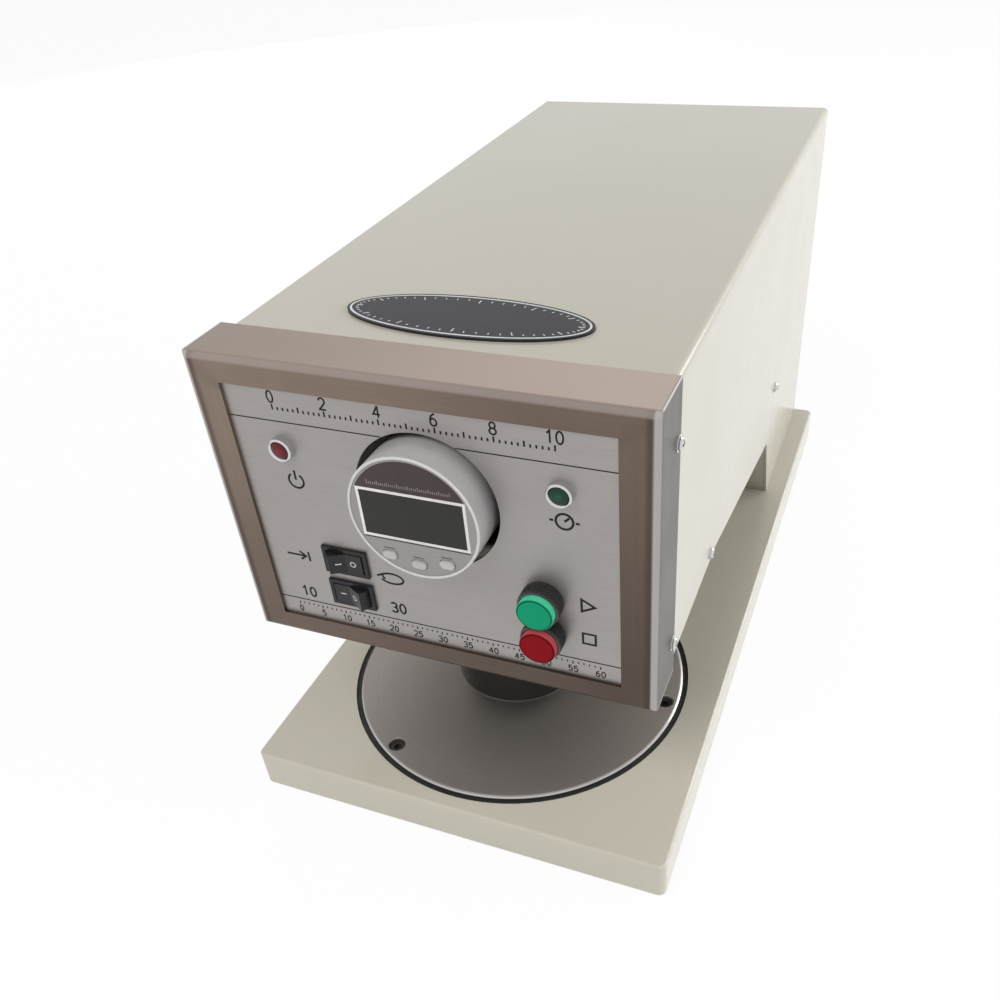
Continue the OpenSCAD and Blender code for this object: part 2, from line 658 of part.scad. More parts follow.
module loading_weight() place() color([0.66, 0.66, 0.67]) difference() {
    bar_z(0, spindle_y, collar_low + 4, weight_h, 23);
    bar_z(0, spindle_y, collar_low + 3, weight_h + 2, spindle_r + press_fit);
}

module lift_yoke() place() color([0.5, 0.5, 0.5]) difference() {
    union() {
        bar_z(0, spindle_y, shoulder_z, yoke_h, 13);
        box(span(0, yoke_half), [spindle_y, cam_y + 7], [shoulder_z, shoulder_z + yoke_h]);
        for (x = [-yoke_half, yoke_half - 2.8])
            box([x, x + 2.8], span(cam_y, 7), [follower_z - 5, shoulder_z + 1]);
    }
    bar_z(0, spindle_y, shoulder_z - 1, yoke_h + 2, thread_r + press_fit);
    bar_x(-yoke_half - 1, cam_y, follower_z, 2 * yoke_half + 2, pin_r - 1 + press_fit);
}

module follower_pin() place() color([0.75, 0.75, 0.76]) {
    bar_x(-yoke_half, cam_y, follower_z, 2 * yoke_half, pin_r - 1);
    bar_x(-5, cam_y, follower_z, 10, pin_r);
}

module spindle_nut() place() color([0.7, 0.7, 0.7]) difference() {
    translate([0, spindle_y, shoulder_z + yoke_h]) cylinder(h = 6, r = 9, $fn = 6);
    bar_z(0, spindle_y, shoulder_z + yoke_h - 1, 8, thread_r + press_fit);
}

// The cam's radius falls steadily as the angle from the y axis grows, so that lift follows its turn.
cam_from = -46;
cam_to = 214;
function cam_radius(a) = cam_rest_r + (90 - a) / cam_rate;
function cam_return(a) = cam_radius(cam_to)
    + (cam_radius(cam_from) - cam_radius(cam_to)) * (a - cam_to) / (360 + cam_from - cam_to);

module lift_cam() place() color([0.6, 0.6, 0.62]) difference() {
    translate([0, cam_y, cam_z]) union() {
        prism_x(-4, 4) polygon([
            for (a = [cam_from : 5 : cam_to]) cam_radius(a) * [cos(a), sin(a)],
            for (a = [cam_to + 10 : 10 : 355 + cam_from]) cam_return(a) * [cos(a), sin(a)]
        ]);
        bar_x(3, 0, 0, 5.5, 8);
    }
    bar_x(-6, cam_y, cam_z, 16, shaft_r + press_fit);
}

module cam_shaft() place() color([0.72, 0.72, 0.73]) bar_x(-6, cam_y, cam_z, 34, shaft_r);

module cam_motor() place() color([0.45, 0.46, 0.48]) difference() {
    union() {
        bar_x(13, cam_y, cam_z, 22, 18.4);
        bar_x(35, cam_y, cam_z, 26, 17);
        bar_x(10.2, cam_y, cam_z, 3, 6);
    }
    bar_x(10, cam_y, cam_z, 19, shaft_r + fit);
}

module motor_bracket() place() color([0.6, 0.6, 0.6]) difference() {
    union() {
        box([10, 13], span(cam_y, 22), [arm_top, cam_z + 22]);
        box([10, 34], span(cam_y, 22), [arm_top, arm_top + 3]);
    }
    bar_x(9, cam_y, cam_z, 5, 6.05);
}

// A circuit board on four standoffs over the overarm, with a relay and a capacitor.
module circuit_board() place() {
    color([0.1, 0.35, 0.18]) box(span(0, 32), [190, 310], [150, 151.6]);
    color([0.7, 0.7, 0.7]) for (x = [-28, 28], y = [196, 304]) bar_z(x, y, arm_top, 12, 2.5);
    color([0.1, 0.2, 0.5]) box([-26, -8], [210, 226], [151.6, 166]);
    color([0.1, 0.1, 0.1]) bar_z(14, 250, 151.6, 22, 8);
}

module transformer() place() {
    color([0.35, 0.35, 0.36]) box(span(0, 28), [340, 376], [arm_top, 184]);
    color([0.7, 0.5, 0.2]) box(span(0, 18), [332, 384], [arm_top + 8, 176]);
}

module mains_inlet() place() color([0.08, 0.08, 0.08]) {
    x = inlet_spot[0];
    z = inlet_spot[1];
    difference() {
        union() {
            box(span(x, 24), [rear_out, rear_out + 3], span(z, 11));
            box(span(x, 13.8), [rear_out - 22, rear_out], span(z, 9.8));
        }
        box(span(x, 12), [rear_out - 15, rear_out + 4], span(z, 8));
    }
    for (s = [[-7, -1.5], [0, 2.5], [7, -1.5]])
        box(span(x + s[0], 1), [rear_out - 15, rear_out - 4], span(z + s[1], 2));
}

module fuse_holder() place() color([0.07, 0.07, 0.07]) turned_y(fuse_spot[0], fuse_spot[1]) polygon([
    [0, rear_out - 30], [6, rear_out - 30], [6, rear_out], [8.5, rear_out], [8.5, rear_out + 2],
    [6.5, rear_out + 2], [6.2, rear_out + 7], [0, rear_out + 7]
]);

base_plate();
rubber_feet();
foot_screws();
platen();
platen_seal();
platen_screws();
column();
column_bolts();
overarm();
overarm_bolts();
head_cover();
throat_plate();
rear_panel();
rear_rails();
rear_screws();
bezel_frame();
bezel_screws();
cover_screws();
side_washers();
panel_plate();
panel_clips();
badge_plate();
lamp_collars();
red_lamp();
green_lamp();
gauge_case();
gauge_face();
gauge_window();
gauge_display();
gauge_stem();
gauge_clamp();
gauge_plunger();
gauge_key_left();
gauge_key_middle();
gauge_key_right();
rocker_frames();
upper_rocker();
lower_rocker();
button_collars();
start_button();
stop_button();
presser_foot();
spindle();
guide_bush();
gauge_arm();
loading_weight();
lift_yoke();
follower_pin();
spindle_nut();
lift_cam();
cam_shaft();
cam_motor();
motor_bracket();
circuit_board();
transformer();
mains_inlet();
fuse_holder();
power_switch_frame();
power_rocker();
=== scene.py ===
"""Bench thickness tester for fabric: finishes, printed marks, light and camera.

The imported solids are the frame. Every operator below paints a group of them, or adds the fine pieces that
sit on them: printed lines and symbols, the gauge's white frame, ribs, switch marks and the oval plate's ring.
"""

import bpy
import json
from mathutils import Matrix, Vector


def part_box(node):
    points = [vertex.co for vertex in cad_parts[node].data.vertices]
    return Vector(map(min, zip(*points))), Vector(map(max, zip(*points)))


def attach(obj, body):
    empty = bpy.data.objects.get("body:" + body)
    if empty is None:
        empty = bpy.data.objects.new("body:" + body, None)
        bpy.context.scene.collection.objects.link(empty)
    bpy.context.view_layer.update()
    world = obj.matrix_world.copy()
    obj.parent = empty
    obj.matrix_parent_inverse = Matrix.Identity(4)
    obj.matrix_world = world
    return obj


bl_info = {
    "name": "Fabric thickness tester",
    "version": (1, 0, 0),
    "blender": (4, 5, 0),
    "location": "3D View > Sidebar > Tester",
    "description": "Paints a bench thickness tester and adds its prints, ribs, switch marks and studio",
    "category": "Object",
}

import json
import math

import bmesh
import bpy
import numpy as np
from bpy.props import FloatProperty, FloatVectorProperty, IntProperty, PointerProperty
from mathutils import Matrix

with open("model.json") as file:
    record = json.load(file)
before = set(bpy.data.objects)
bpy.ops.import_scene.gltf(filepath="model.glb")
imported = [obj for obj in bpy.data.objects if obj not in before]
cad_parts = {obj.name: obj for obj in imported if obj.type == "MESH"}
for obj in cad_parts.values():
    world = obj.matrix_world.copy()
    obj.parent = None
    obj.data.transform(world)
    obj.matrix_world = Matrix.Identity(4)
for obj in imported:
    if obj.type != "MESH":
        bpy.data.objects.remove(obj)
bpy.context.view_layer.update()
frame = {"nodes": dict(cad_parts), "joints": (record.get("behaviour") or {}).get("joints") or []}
MM = 0.001

# The panel's front and the base's top in metres, the directions across an upright and a level axis, and the
# corners of a square.
PANEL_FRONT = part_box("panel_plate")[0].y
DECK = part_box("base_plate")[1].z
UPRIGHT_AXIS = (1.0, 1.0, 0.0)
LEVEL_AXIS = (1.0, 0.0, 1.0)
SQUARE = ((-1, -1), (1, -1), (1, 1), (-1, 1))


def middle_and_half(node):
    """The middle of a CAD node's box, and half of its size."""
    low, high = (np.array(corner, float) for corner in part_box(node))
    return (low + high) / 2, (high - low) / 2


def colour_setting(name, value, description):
    """A colour that a user may change, with its default and its description."""
    return FloatVectorProperty(
        name=name, description=description, subtype="COLOR", size=3, min=0.0, max=1.0, default=value
    )


def length_setting(name, value, description):
    """A length that a user may change, in metres."""
    return FloatProperty(name=name, description=description, default=value, min=0.0, unit="LENGTH", precision=5)


def power_setting(name, value, description):
    """A lamp's power that a user may change, in watts."""
    return FloatProperty(name=name, description=description, default=value, min=0.0, unit="POWER")


class TesterColours(bpy.types.PropertyGroup):
    """Colours of the finishes."""

    enamel: colour_setting("Enamel", (0.475, 0.449, 0.377), "Gloss cream paint of the base, cover and back")
    bezel: colour_setting("Bezel steel", (0.18, 0.138, 0.112), "Brushed stainless steel of the bezel")
    panel: colour_setting("Panel", (0.376, 0.353, 0.341), "Satin aluminium of the control panel")
    platen: colour_setting("Ground steel", (0.40, 0.37, 0.35), "Ground steel of the platen")
    bright: colour_setting("Bright steel", (0.66, 0.66, 0.67), "Plated screws, washers and lamp collars")
    casting: colour_setting("Casting", (0.10, 0.13, 0.12), "Painted casting inside the head")
    print_ink: colour_setting("Print", (0.012, 0.012, 0.014), "Black ink of the panel's print")
    start_cap: colour_setting("Start button", (0.004, 0.27, 0.135), "Translucent green of the start button")
    stop_cap: colour_setting("Stop button", (0.21, 0.001, 0.006), "Translucent red of the stop button")
    window: colour_setting("Gauge window", (0.040, 0.024, 0.023), "Dark brown behind the gauge's window")
    badge: colour_setting("Oval plate", (0.014, 0.015, 0.018), "Dark satin foil of the oval plate")


class TesterSizes(bpy.types.PropertyGroup):
    """Sizes of the fine pieces."""

    line: length_setting("Print line", 0.0005, "Width of the printed lines and symbols")
    ink: length_setting("Print height", 0.00005, "Thickness of the printed ink")
    frame_line: length_setting("Display frame", 0.0013, "Width of the white line round the display")
    ring_line: length_setting("Oval ring", 0.0009, "Width of the pale ring on the oval plate")
    ribs: IntProperty(
        name="Collar ribs", description="Ribs round each push button's collar", default=72, min=24, max=120
    )
    rib_depth: length_setting("Rib depth", 0.00022, "Depth of the ribs on the collars")


class TesterStudio(bpy.types.PropertyGroup):
    """Light and camera."""

    ambient: FloatProperty(
        name="Ambient", description="Strength of the even light from all sides", default=0.34, min=0.0, max=2.0
    )
    key: power_setting("Side lamp", 17.0, "Power of the lamp on the right")
    rim: power_setting("Rim lamp", 16.0, "Power of the lamp behind on the right")
    back: power_setting("Back lamp", 14.0, "Power of the lamp behind on the left")
    fill: power_setting("Front lamp", 34.0, "Power of the lamp in front")
    lens: FloatProperty(
        name="Lens", description="Focal length for a 36 mm wide picture", default=34.8, min=10.0, unit="CAMERA"
    )


# Meshes


def add_piece(name, parts, body, finish):
    """Joins closed shells, each a pair of corner points and faces, into one object that rides on a body."""
    points, faces, start = [], [], 0
    for corners, polygons in parts:
        points.append(corners)
        faces += [[int(i) + start for i in polygon] for polygon in polygons]
        start += len(corners)
    mesh = bpy.data.meshes.new(name)
    mesh.from_pydata(np.concatenate(points).tolist(), [], faces)
    shell = bmesh.new()
    shell.from_mesh(mesh)
    bmesh.ops.recalc_face_normals(shell, faces=shell.faces)
    shell.to_mesh(mesh)
    shell.free()
    mesh.materials.append(finish)
    piece = bpy.data.objects.new(name, mesh)
    bpy.context.scene.collection.objects.link(piece)
    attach(piece, body)


def loft(sections, closed_path):
    """A skin over cross-sections given as an array [section, corner, xyz]: each corner joins the same corner of
    the next section, and an open skin gets a flat cap at each end."""
    count, corners = sections.shape[:2]
    index = np.arange(count * corners).reshape(count, corners)
    last = count if closed_path else count - 1
    a = index[:last]
    b = np.roll(index, -1, 0)[:last]
    quads = np.stack([a, np.roll(a, -1, 1), np.roll(b, -1, 1), b], -1).reshape(-1, 4).tolist()
    if not closed_path:
        quads += [index[0][::-1].tolist(), index[-1].tolist()]
    return sections.reshape(-1, 3), quads


def band(path, width, depth, plane, closed=False):
    """A flat band along a path of [u, v] points: each edge lies half the width to its side, along the mean of
    the two neighbouring normals divided by their shared cosine, and the band is depth thick along w.
    The plane gives the origin and the three directions of u, v and w."""
    path = np.asarray(path, float)
    ahead = np.roll(path, -1, 0) - path
    behind = path - np.roll(path, 1, 0)
    if not closed:
        ahead[-1], behind[0] = behind[-1], ahead[0]
    ahead /= np.linalg.norm(ahead, axis=1)[:, None]
    behind /= np.linalg.norm(behind, axis=1)[:, None]
    side_a = np.stack([-ahead[:, 1], ahead[:, 0]], 1)
    side_b = np.stack([-behind[:, 1], behind[:, 0]], 1)
    mitre = (side_a + side_b) / np.maximum(1 + (side_a * side_b).sum(1), 0.3)[:, None]
    left, right = path + mitre * width / 2, path - mitre * width / 2
    origin, u, v, w = (np.asarray(x, float) for x in plane)
    flat = np.stack([left, right, right, left], 1)
    lift = np.array([0, 0, depth, depth])
    sections = origin + flat[..., :1] * u + flat[..., 1:] * v + lift[None, :, None] * w
    return loft(sections, closed)


def turned(profile, centre, turns=96, wave=None):
    """A ring whose closed outline of [radius, depth] corners is spun round an axis along y. wave gives each
    turn's change of radius, for the corners that it marks."""
    profile = np.asarray(profile, float)
    angle = np.linspace(0, 2 * np.pi, turns, endpoint=False)
    radius = np.repeat(profile[None, :, 0], turns, 0)
    if wave is not None:
        height, marked = wave
        radius = radius + height(angle)[:, None] * np.asarray(marked, float)[None, :]
    depth = np.repeat(profile[None, :, 1], turns, 0)
    sections = np.stack([radius * np.cos(angle)[:, None], depth, radius * np.sin(angle)[:, None]], -1)
    return loft(sections + centre, True)


def arc(centre, radii, start, stop, count=25):
    """Points of an ellipse's arc, from one angle to another in degrees."""
    t = np.radians(np.linspace(start, stop, count))
    return np.stack([centre[0] + radii[0] * np.cos(t), centre[1] + radii[1] * np.sin(t)], 1)


def oval(centre, radii, count=49):
    """Points all round an ellipse, without the last one repeated."""
    return arc(centre, radii, 0, 360 - 360 / count, count)


def numeral(digit, x, z, height):
    """Pen strokes of one plain digit in a cell 0.6 of its height wide."""
    hook = arc((0.3, 0.72), (0.26, 0.28), 170, -35, 14)
    upper = arc((0.28, 0.75), (0.25, 0.25), 155, -70, 14)
    lower = arc((0.28, 0.25), (0.28, 0.27), 75, -155, 14)
    bowl = arc((0.28, 0.32), (0.27, 0.32), 125, -150, 16)
    strokes = {
        "0": [(oval((0.3, 0.5), (0.26, 0.5), 28), True)],
        "1": [([(0.12, 0.76), (0.34, 1.0), (0.34, 0.0)], False)],
        "2": [([*hook, (0.04, 0.0), (0.58, 0.0)], False)],
        "3": [([*upper, *lower], False)],
        "4": [([(0.58, 0.28), (0.02, 0.28), (0.42, 1.0)], False), ([(0.42, 1.0), (0.42, 0.0)], False)],
        "5": [([(0.52, 1.0), (0.12, 1.0), (0.08, 0.56), *bowl], False)],
        "6": [(oval((0.3, 0.3), (0.25, 0.3), 24), True), (arc((0.5, 0.35), (0.45, 0.65), 95, 170, 10), False)],
        "8": [(oval((0.3, 0.75), (0.22, 0.25), 22), True), (oval((0.3, 0.26), (0.26, 0.26), 22), True)],
    }[digit]
    return [(np.asarray(path) * height + (x, z), closed) for path, closed in strokes]


def number(text, x, z, height):
    """Pen strokes of a number, centred on x, standing on z, with 0.78 of its height from digit to digit."""
    pitch = 0.78 * height
    start = x - (pitch * (len(text) - 1) + 0.6 * height) / 2
    return [stroke for i, digit in enumerate(text) for stroke in numeral(digit, start + i * pitch, z, height)]


def graduations(ends, ticks, tick_z, reach, extra, labels, label_z, height):
    """Pen strokes of a scale: even ticks, each fifth one longer by the extra, and numbers at even steps."""
    strokes = [
        ([(x, tick_z), (x, tick_z + reach + extra * (i % 5 == 0))], False)
        for i, x in enumerate(np.linspace(*ends, ticks))
    ]
    for label, x in zip(labels, np.linspace(*ends, len(labels))):
        strokes += number(str(label), x, label_z, height)
    return strokes


# Shader groups


def fill(tree, node, values):
    """Sets a node's inputs, by name or by place, to values or to other nodes' outputs."""
    for key, value in values.items():
        socket = node.inputs[key]
        if isinstance(value, bpy.types.NodeSocket):
            tree.links.new(value, socket)
        else:
            socket.default_value = value
    return node


def put(tree, kind, options=None, values=None):
    """Adds a node with its options and inputs."""
    node = tree.nodes.new(kind)
    for key, value in (options or {}).items():
        setattr(node, key, value)
    return fill(tree, node, values or {})


def calculate(tree, operation, *values):
    """The result of one arithmetic step."""
    return put(tree, "ShaderNodeMath", {"operation": operation}, dict(enumerate(values))).outputs[0]


def times(tree, first, second):
    """The product of two values."""
    return calculate(tree, "MULTIPLY", first, second)


def plus(tree, first, second):
    """The sum of two values."""
    return calculate(tree, "ADD", first, second)


def minus(tree, first, second):
    """The first value less the second."""
    return calculate(tree, "SUBTRACT", first, second)


def mixed(tree, first, second, share):
    """The first value times its share, plus the second times the rest."""
    return plus(tree, times(tree, first, share), times(tree, second, 1.0 - share))


def new_group(name, inputs, outputs):
    """An empty shader group with named inputs and outputs."""
    tree = bpy.data.node_groups.new(name, "ShaderNodeTree")
    for side, sockets in (("INPUT", inputs), ("OUTPUT", outputs)):
        for label, kind in sockets.items():
            tree.interface.new_socket(name=label, in_out=side, socket_type="NodeSocket" + kind)
    return tree, tree.nodes.new("NodeGroupInput").outputs, tree.nodes.new("NodeGroupOutput")


def vector_step(tree, operation, first, second):
    """The result of one arithmetic step on vectors."""
    return put(tree, "ShaderNodeVectorMath", {"operation": operation}, {0: first, 1: second}).outputs[0]


def scaled(tree, vector, factor):
    """A place or colour multiplied by another vector, axis by axis."""
    return vector_step(tree, "MULTIPLY", vector, factor)


def noise(tree, vector, scale, detail, roughness):
    """Soft noise from 0 to 1 at a place."""
    values = {"Vector": vector, "Scale": scale, "Detail": detail, "Roughness": roughness}
    return put(tree, "ShaderNodeTexNoise", None, values).outputs[0]


def ramp(tree, value, low, high, to_low=0.0, to_high=1.0):
    """A value moved smoothly from one span to another, and held at its ends. It falls if low is above high."""
    if low > high:
        low, high, to_low, to_high = high, low, to_high, to_low
    spans = {"Value": value, "From Min": low, "From Max": high, "To Min": to_low, "To Max": to_high}
    return put(tree, "ShaderNodeMapRange", {"interpolation_type": "SMOOTHSTEP"}, spans).outputs[0]


def blend_colour(tree, share, first, second):
    """A colour between two others."""
    node = put(tree, "ShaderNodeMix", {"data_type": "RGBA"})
    fill(tree, node, {0: share, 6: first, 7: second})
    return node.outputs[2]


def make_brushed_grain():
    """Lines left by a brush: noise squeezed across the stroke and stretched along it."""
    tree, given, out = new_group("Brushed grain", {"Place": "Vector", "Stretch": "Vector"}, {"Grain": "Float"})
    squeezed = scaled(tree, given["Place"], given["Stretch"])
    fine = noise(tree, squeezed, 1.0, 3.0, 0.7)
    coarse = noise(tree, squeezed, 0.23, 2.0, 0.5)
    fill(tree, out, {"Grain": mixed(tree, fine, coarse, 0.7)})


def make_turned_grain():
    """Fine rings left by a lathe or grinder: noise over the distance from an upright or level axis."""
    tree, given, out = new_group(
        "Turned grain",
        {"Place": "Vector", "Centre": "Vector", "Across": "Vector", "Pitch": "Float"},
        {"Grain": "Float", "Radius": "Float"},
    )
    offset = vector_step(tree, "SUBTRACT", given["Place"], given["Centre"])
    flat = scaled(tree, offset, given["Across"])
    radius = put(tree, "ShaderNodeVectorMath", {"operation": "LENGTH"}, {0: flat}).outputs["Value"]
    values = {"W": radius, "Scale": given["Pitch"], "Detail": 2.0, "Roughness": 0.7}
    rings = put(tree, "ShaderNodeTexNoise", {"noise_dimensions": "1D"}, values).outputs[0]
    patches = noise(tree, offset, 60.0, 3.0, 0.6)
    fill(tree, out, {"Grain": mixed(tree, rings, patches, 0.75), "Radius": radius})


def make_orange_peel():
    """The soft dimples of sprayed gloss paint: two sizes of noise added."""
    tree, given, out = new_group("Orange peel", {"Place": "Vector", "Scale": "Float"}, {"Height": "Float"})
    large = noise(tree, given["Place"], given["Scale"], 1.0, 0.4)
    small = noise(tree, given["Place"], times(tree, given["Scale"], 2.7), 1.0, 0.4)
    fill(tree, out, {"Height": mixed(tree, large, small, 0.7)})


def make_box_edges():
    """A mask along the edges of a box: the middle one of the three distances to its faces is small there."""
    tree, given, out = new_group(
        "Box edges", {"Place": "Vector", "Low": "Vector", "High": "Vector", "Width": "Float"}, {"Edge": "Float"}
    )
    low = vector_step(tree, "SUBTRACT", given["Place"], given["Low"])
    high = vector_step(tree, "SUBTRACT", given["High"], given["Place"])
    near = vector_step(tree, "MINIMUM", low, high)
    x, y, z = put(tree, "ShaderNodeSeparateXYZ", None, {0: near}).outputs
    smaller, larger = calculate(tree, "MINIMUM", x, y), calculate(tree, "MAXIMUM", x, y)
    middle = calculate(tree, "MAXIMUM", smaller, calculate(tree, "MINIMUM", larger, z))
    ragged = times(tree, noise(tree, given["Place"], 420.0, 4.0, 0.7), 2.0)
    share = calculate(tree, "DIVIDE", middle, times(tree, given["Width"], ragged))
    fill(tree, out, {"Edge": minus(tree, 1.0, ramp(tree, share, 0.3, 1.0))})


def make_smudges():
    """Broad uneven patches, as handling and polishing leave, between two levels."""
    tree, given, out = new_group(
        "Smudges", {"Place": "Vector", "Scale": "Float", "From": "Float", "To": "Float"}, {"Level": "Float"}
    )
    patches = noise(tree, given["Place"], given["Scale"], 5.0, 0.62)
    span = {"Value": patches, "From Min": 0.3, "From Max": 0.7, "To Min": given["From"], "To Max": given["To"]}
    fill(tree, out, {"Level": put(tree, "ShaderNodeMapRange", None, span).outputs[0]})


def effect(tree, name, values):
    """Places a shared group in a material with its own values, and returns its outputs."""
    node = put(tree, "ShaderNodeGroup", {"node_tree": bpy.data.node_groups[name]})
    return fill(tree, node, values).outputs


def smudges(tree, place, scale, low=0.0, high=1.0):
    """The shared smudges of one size, between two levels."""
    return effect(tree, "Smudges", {"Place": place, "Scale": scale, "From": low, "To": high})["Level"]


# Finishes


def new_finish(name):
    """A material with its tree, its shader and the place on the object."""
    finish = bpy.data.materials.new(name)
    finish.use_nodes = True
    tree = finish.node_tree
    place = tree.nodes.new("ShaderNodeTexCoord").outputs["Object"]
    return finish, tree, tree.nodes["Principled BSDF"], place


def opaque(colour, factor=1.0):
    """A colour with its alpha, lightened or darkened by a factor."""
    return (*[min(1.0, c * factor) for c in colour], 1.0)


def bump(tree, shader, height, distance):
    """Raises the surface by a height from 0 to 1 times a distance in metres."""
    node = put(tree, "ShaderNodeBump", None, {"Height": height, "Distance": distance, "Strength": 1.0})
    tree.links.new(node.outputs[0], shader.inputs["Normal"])


def enamel_finish(name, colour, low, high, peel, depth):
    """Gloss enamel: soft dimples, faint patches, specks of dust, and a painted highlight as a paler thin line
    along the edges.
    """
    finish, tree, shader, place = new_finish(name)
    dust = smudges(tree, place, 900.0, -1.5, 1.0)
    edge = effect(tree, "Box edges", {"Place": place, "Low": low, "High": high, "Width": 1.6 * MM})["Edge"]
    tone = blend_colour(tree, smudges(tree, place, 7.0), opaque(colour, 0.98), opaque(colour, 1.015))
    # Painted highlight: the edges get a paler thin line, standing in for a rounded edge that catches the light.
    tone = blend_colour(tree, times(tree, edge, 0.35), tone, opaque(colour, 1.16))
    tone = blend_colour(tree, ramp(tree, dust, 0.75, 1.0, 0.0, 0.14), tone, opaque(colour, 0.62))
    fill(tree, shader, {"Base Color": tone, "Roughness": smudges(tree, place, 23.0, 0.17, 0.27)})
    fill(tree, shader, {"Coat Weight": 0.1, "Coat Roughness": 0.06, "Specular IOR Level": 0.45})
    bump(tree, shader, effect(tree, "Orange peel", {"Place": place, "Scale": peel})["Height"], depth)
    return finish


def brushed_finish(name, colour, stretch, roughness, depth=0.01 * MM, metal=1.0, gloss=0.5):
    """Brushed metal or satin paint: grain lines and broad patches."""
    finish, tree, shader, place = new_finish(name)
    grain = effect(tree, "Brushed grain", {"Place": place, "Stretch": stretch})["Grain"]
    tone = blend_colour(tree, grain, opaque(colour, 0.78), opaque(colour, 1.2))
    tone = blend_colour(tree, times(tree, smudges(tree, place, 16.0), 0.45), tone, opaque(colour, 0.85))
    level = plus(tree, times(tree, grain, 0.14), roughness - 0.07)
    fill(tree, shader, {"Base Color": tone, "Metallic": metal, "Roughness": level, "Specular IOR Level": gloss})
    bump(tree, shader, grain, depth)
    return finish


def bezel_finish(colour, low, high, bar):
    """Brushed steel whose grain runs up the side bars and along the top and bottom bars. Light and shade are
    painted in: a painted highlight along the bends at the front, a painted dark reflection beside them, painted
    shade on the walls, painted light on the top that grows paler towards the right, a pale painted highlight
    along the edges where the walls meet the top and bottom, and painted shade that darkens the bezel towards
    the bottom and the right, so the lower bar is darker. Each corner has the faint line and tint of its weld."""
    finish, tree, shader, place = new_finish("bezel_steel")
    upright = effect(tree, "Brushed grain", {"Place": place, "Stretch": (1500.0, 1500.0, 22.0)})["Grain"]
    level_grain = effect(tree, "Brushed grain", {"Place": place, "Stretch": (22.0, 1500.0, 1500.0)})["Grain"]
    x, y, z = put(tree, "ShaderNodeSeparateXYZ", None, {0: place}).outputs

    # Depths below the bezel's faces: the side walls, the top or bottom, the top alone, and the front.
    wall = minus(tree, high.x, calculate(tree, "ABSOLUTE", x))
    height = calculate(tree, "ABSOLUTE", minus(tree, z, (low.z + high.z) / 2))
    end = minus(tree, (high.z - low.z) / 2, height)
    crown = minus(tree, high.z, z)
    front = minus(tree, y, low.y)
    across = minus(tree, end, wall)

    def within(depth, clear, full):
        """Zero at one depth and one at the other, both in millimetres, and held past them."""
        return ramp(tree, depth, clear * MM, full * MM)

    mask = within(across, -0.05, 0.05)
    rest = minus(tree, 1.0, mask)
    grain = plus(tree, times(tree, upright, mask), times(tree, level_grain, rest))
    deeper = calculate(tree, "MAXIMUM", wall, end)
    corner = ramp(tree, deeper, bar + 2 * MM, bar)
    away = calculate(tree, "ABSOLUTE", across)
    joint = times(tree, corner, within(away, 0.22, 0.08))
    weld = times(tree, corner, within(away, 9.0, 1.0))
    near_front, behind = within(front, 2.9, 1.2), within(front, 1.4, 3.2)
    # Painted light and shade: a highlight on the front bends, a dark reflection beside them, shade on the
    # walls, light on the top, and a highlight along the edges where the walls meet the top and bottom.
    wall_bend_highlight = times(tree, within(wall, 3.2, 2.1), near_front)
    top_bend_highlight = times(tree, within(crown, 3.2, 1.8), near_front)
    wall_face_shade = times(tree, within(wall, 1.2, 0.4), behind)
    top_face_light = times(tree, within(crown, 0.9, 0.3), behind)
    arris_highlight = times(tree, within(deeper, 0.7, 0.4), behind)
    bend_dark_reflection = times(tree, within(wall, 2.7, 3.6), times(tree, within(wall, 6.6, 4.0), near_front))
    patches = smudges(tree, place, 19.0)
    # Painted shade and light: the bezel darkens towards the bottom and the right, and its top is paler towards
    # the right.
    shade = times(tree, ramp(tree, z, low.z, high.z, 0.78, 1.28), ramp(tree, x, low.x, high.x, 1.15, 0.72))
    top_light_ends = opaque((0.325, 0.265, 0.225)), opaque((0.52, 0.425, 0.375))
    top_light_tone = blend_colour(tree, ramp(tree, x, low.x, high.x), *top_light_ends)

    tone = blend_colour(tree, grain, opaque(colour, 0.8), opaque(colour, 1.22))
    tone = blend_colour(tree, times(tree, patches, 0.5), tone, opaque(colour, 0.8))
    tone = scaled(tree, tone, shade)
    # Weld tint and joint line, then the painted reflection, shade, light and highlights.
    for where, share, paint_tone in (
        (weld, 0.2, opaque((0.12, 0.093, 0.08))),
        (joint, 0.2, opaque((0.06, 0.05, 0.045))),
        (bend_dark_reflection, 0.55, opaque((0.055, 0.042, 0.038))),
        (top_face_light, 0.85, top_light_tone),
        (wall_face_shade, 0.85, opaque((0.095, 0.093, 0.083))),
        (arris_highlight, 0.8, opaque((0.8, 0.78, 0.76))),
        (top_bend_highlight, 0.5, opaque((0.44, 0.39, 0.36))),
        (wall_bend_highlight, 0.8, opaque((0.50, 0.47, 0.46))),
    ):
        tone = blend_colour(tree, times(tree, where, share), tone, paint_tone)
    level = plus(tree, plus(tree, times(tree, grain, 0.15), times(tree, patches, 0.07)), 0.24)
    fill(tree, shader, {"Base Color": tone, "Metallic": 1.0, "Roughness": level})
    bump(tree, shader, grain, 0.006 * MM)
    return finish


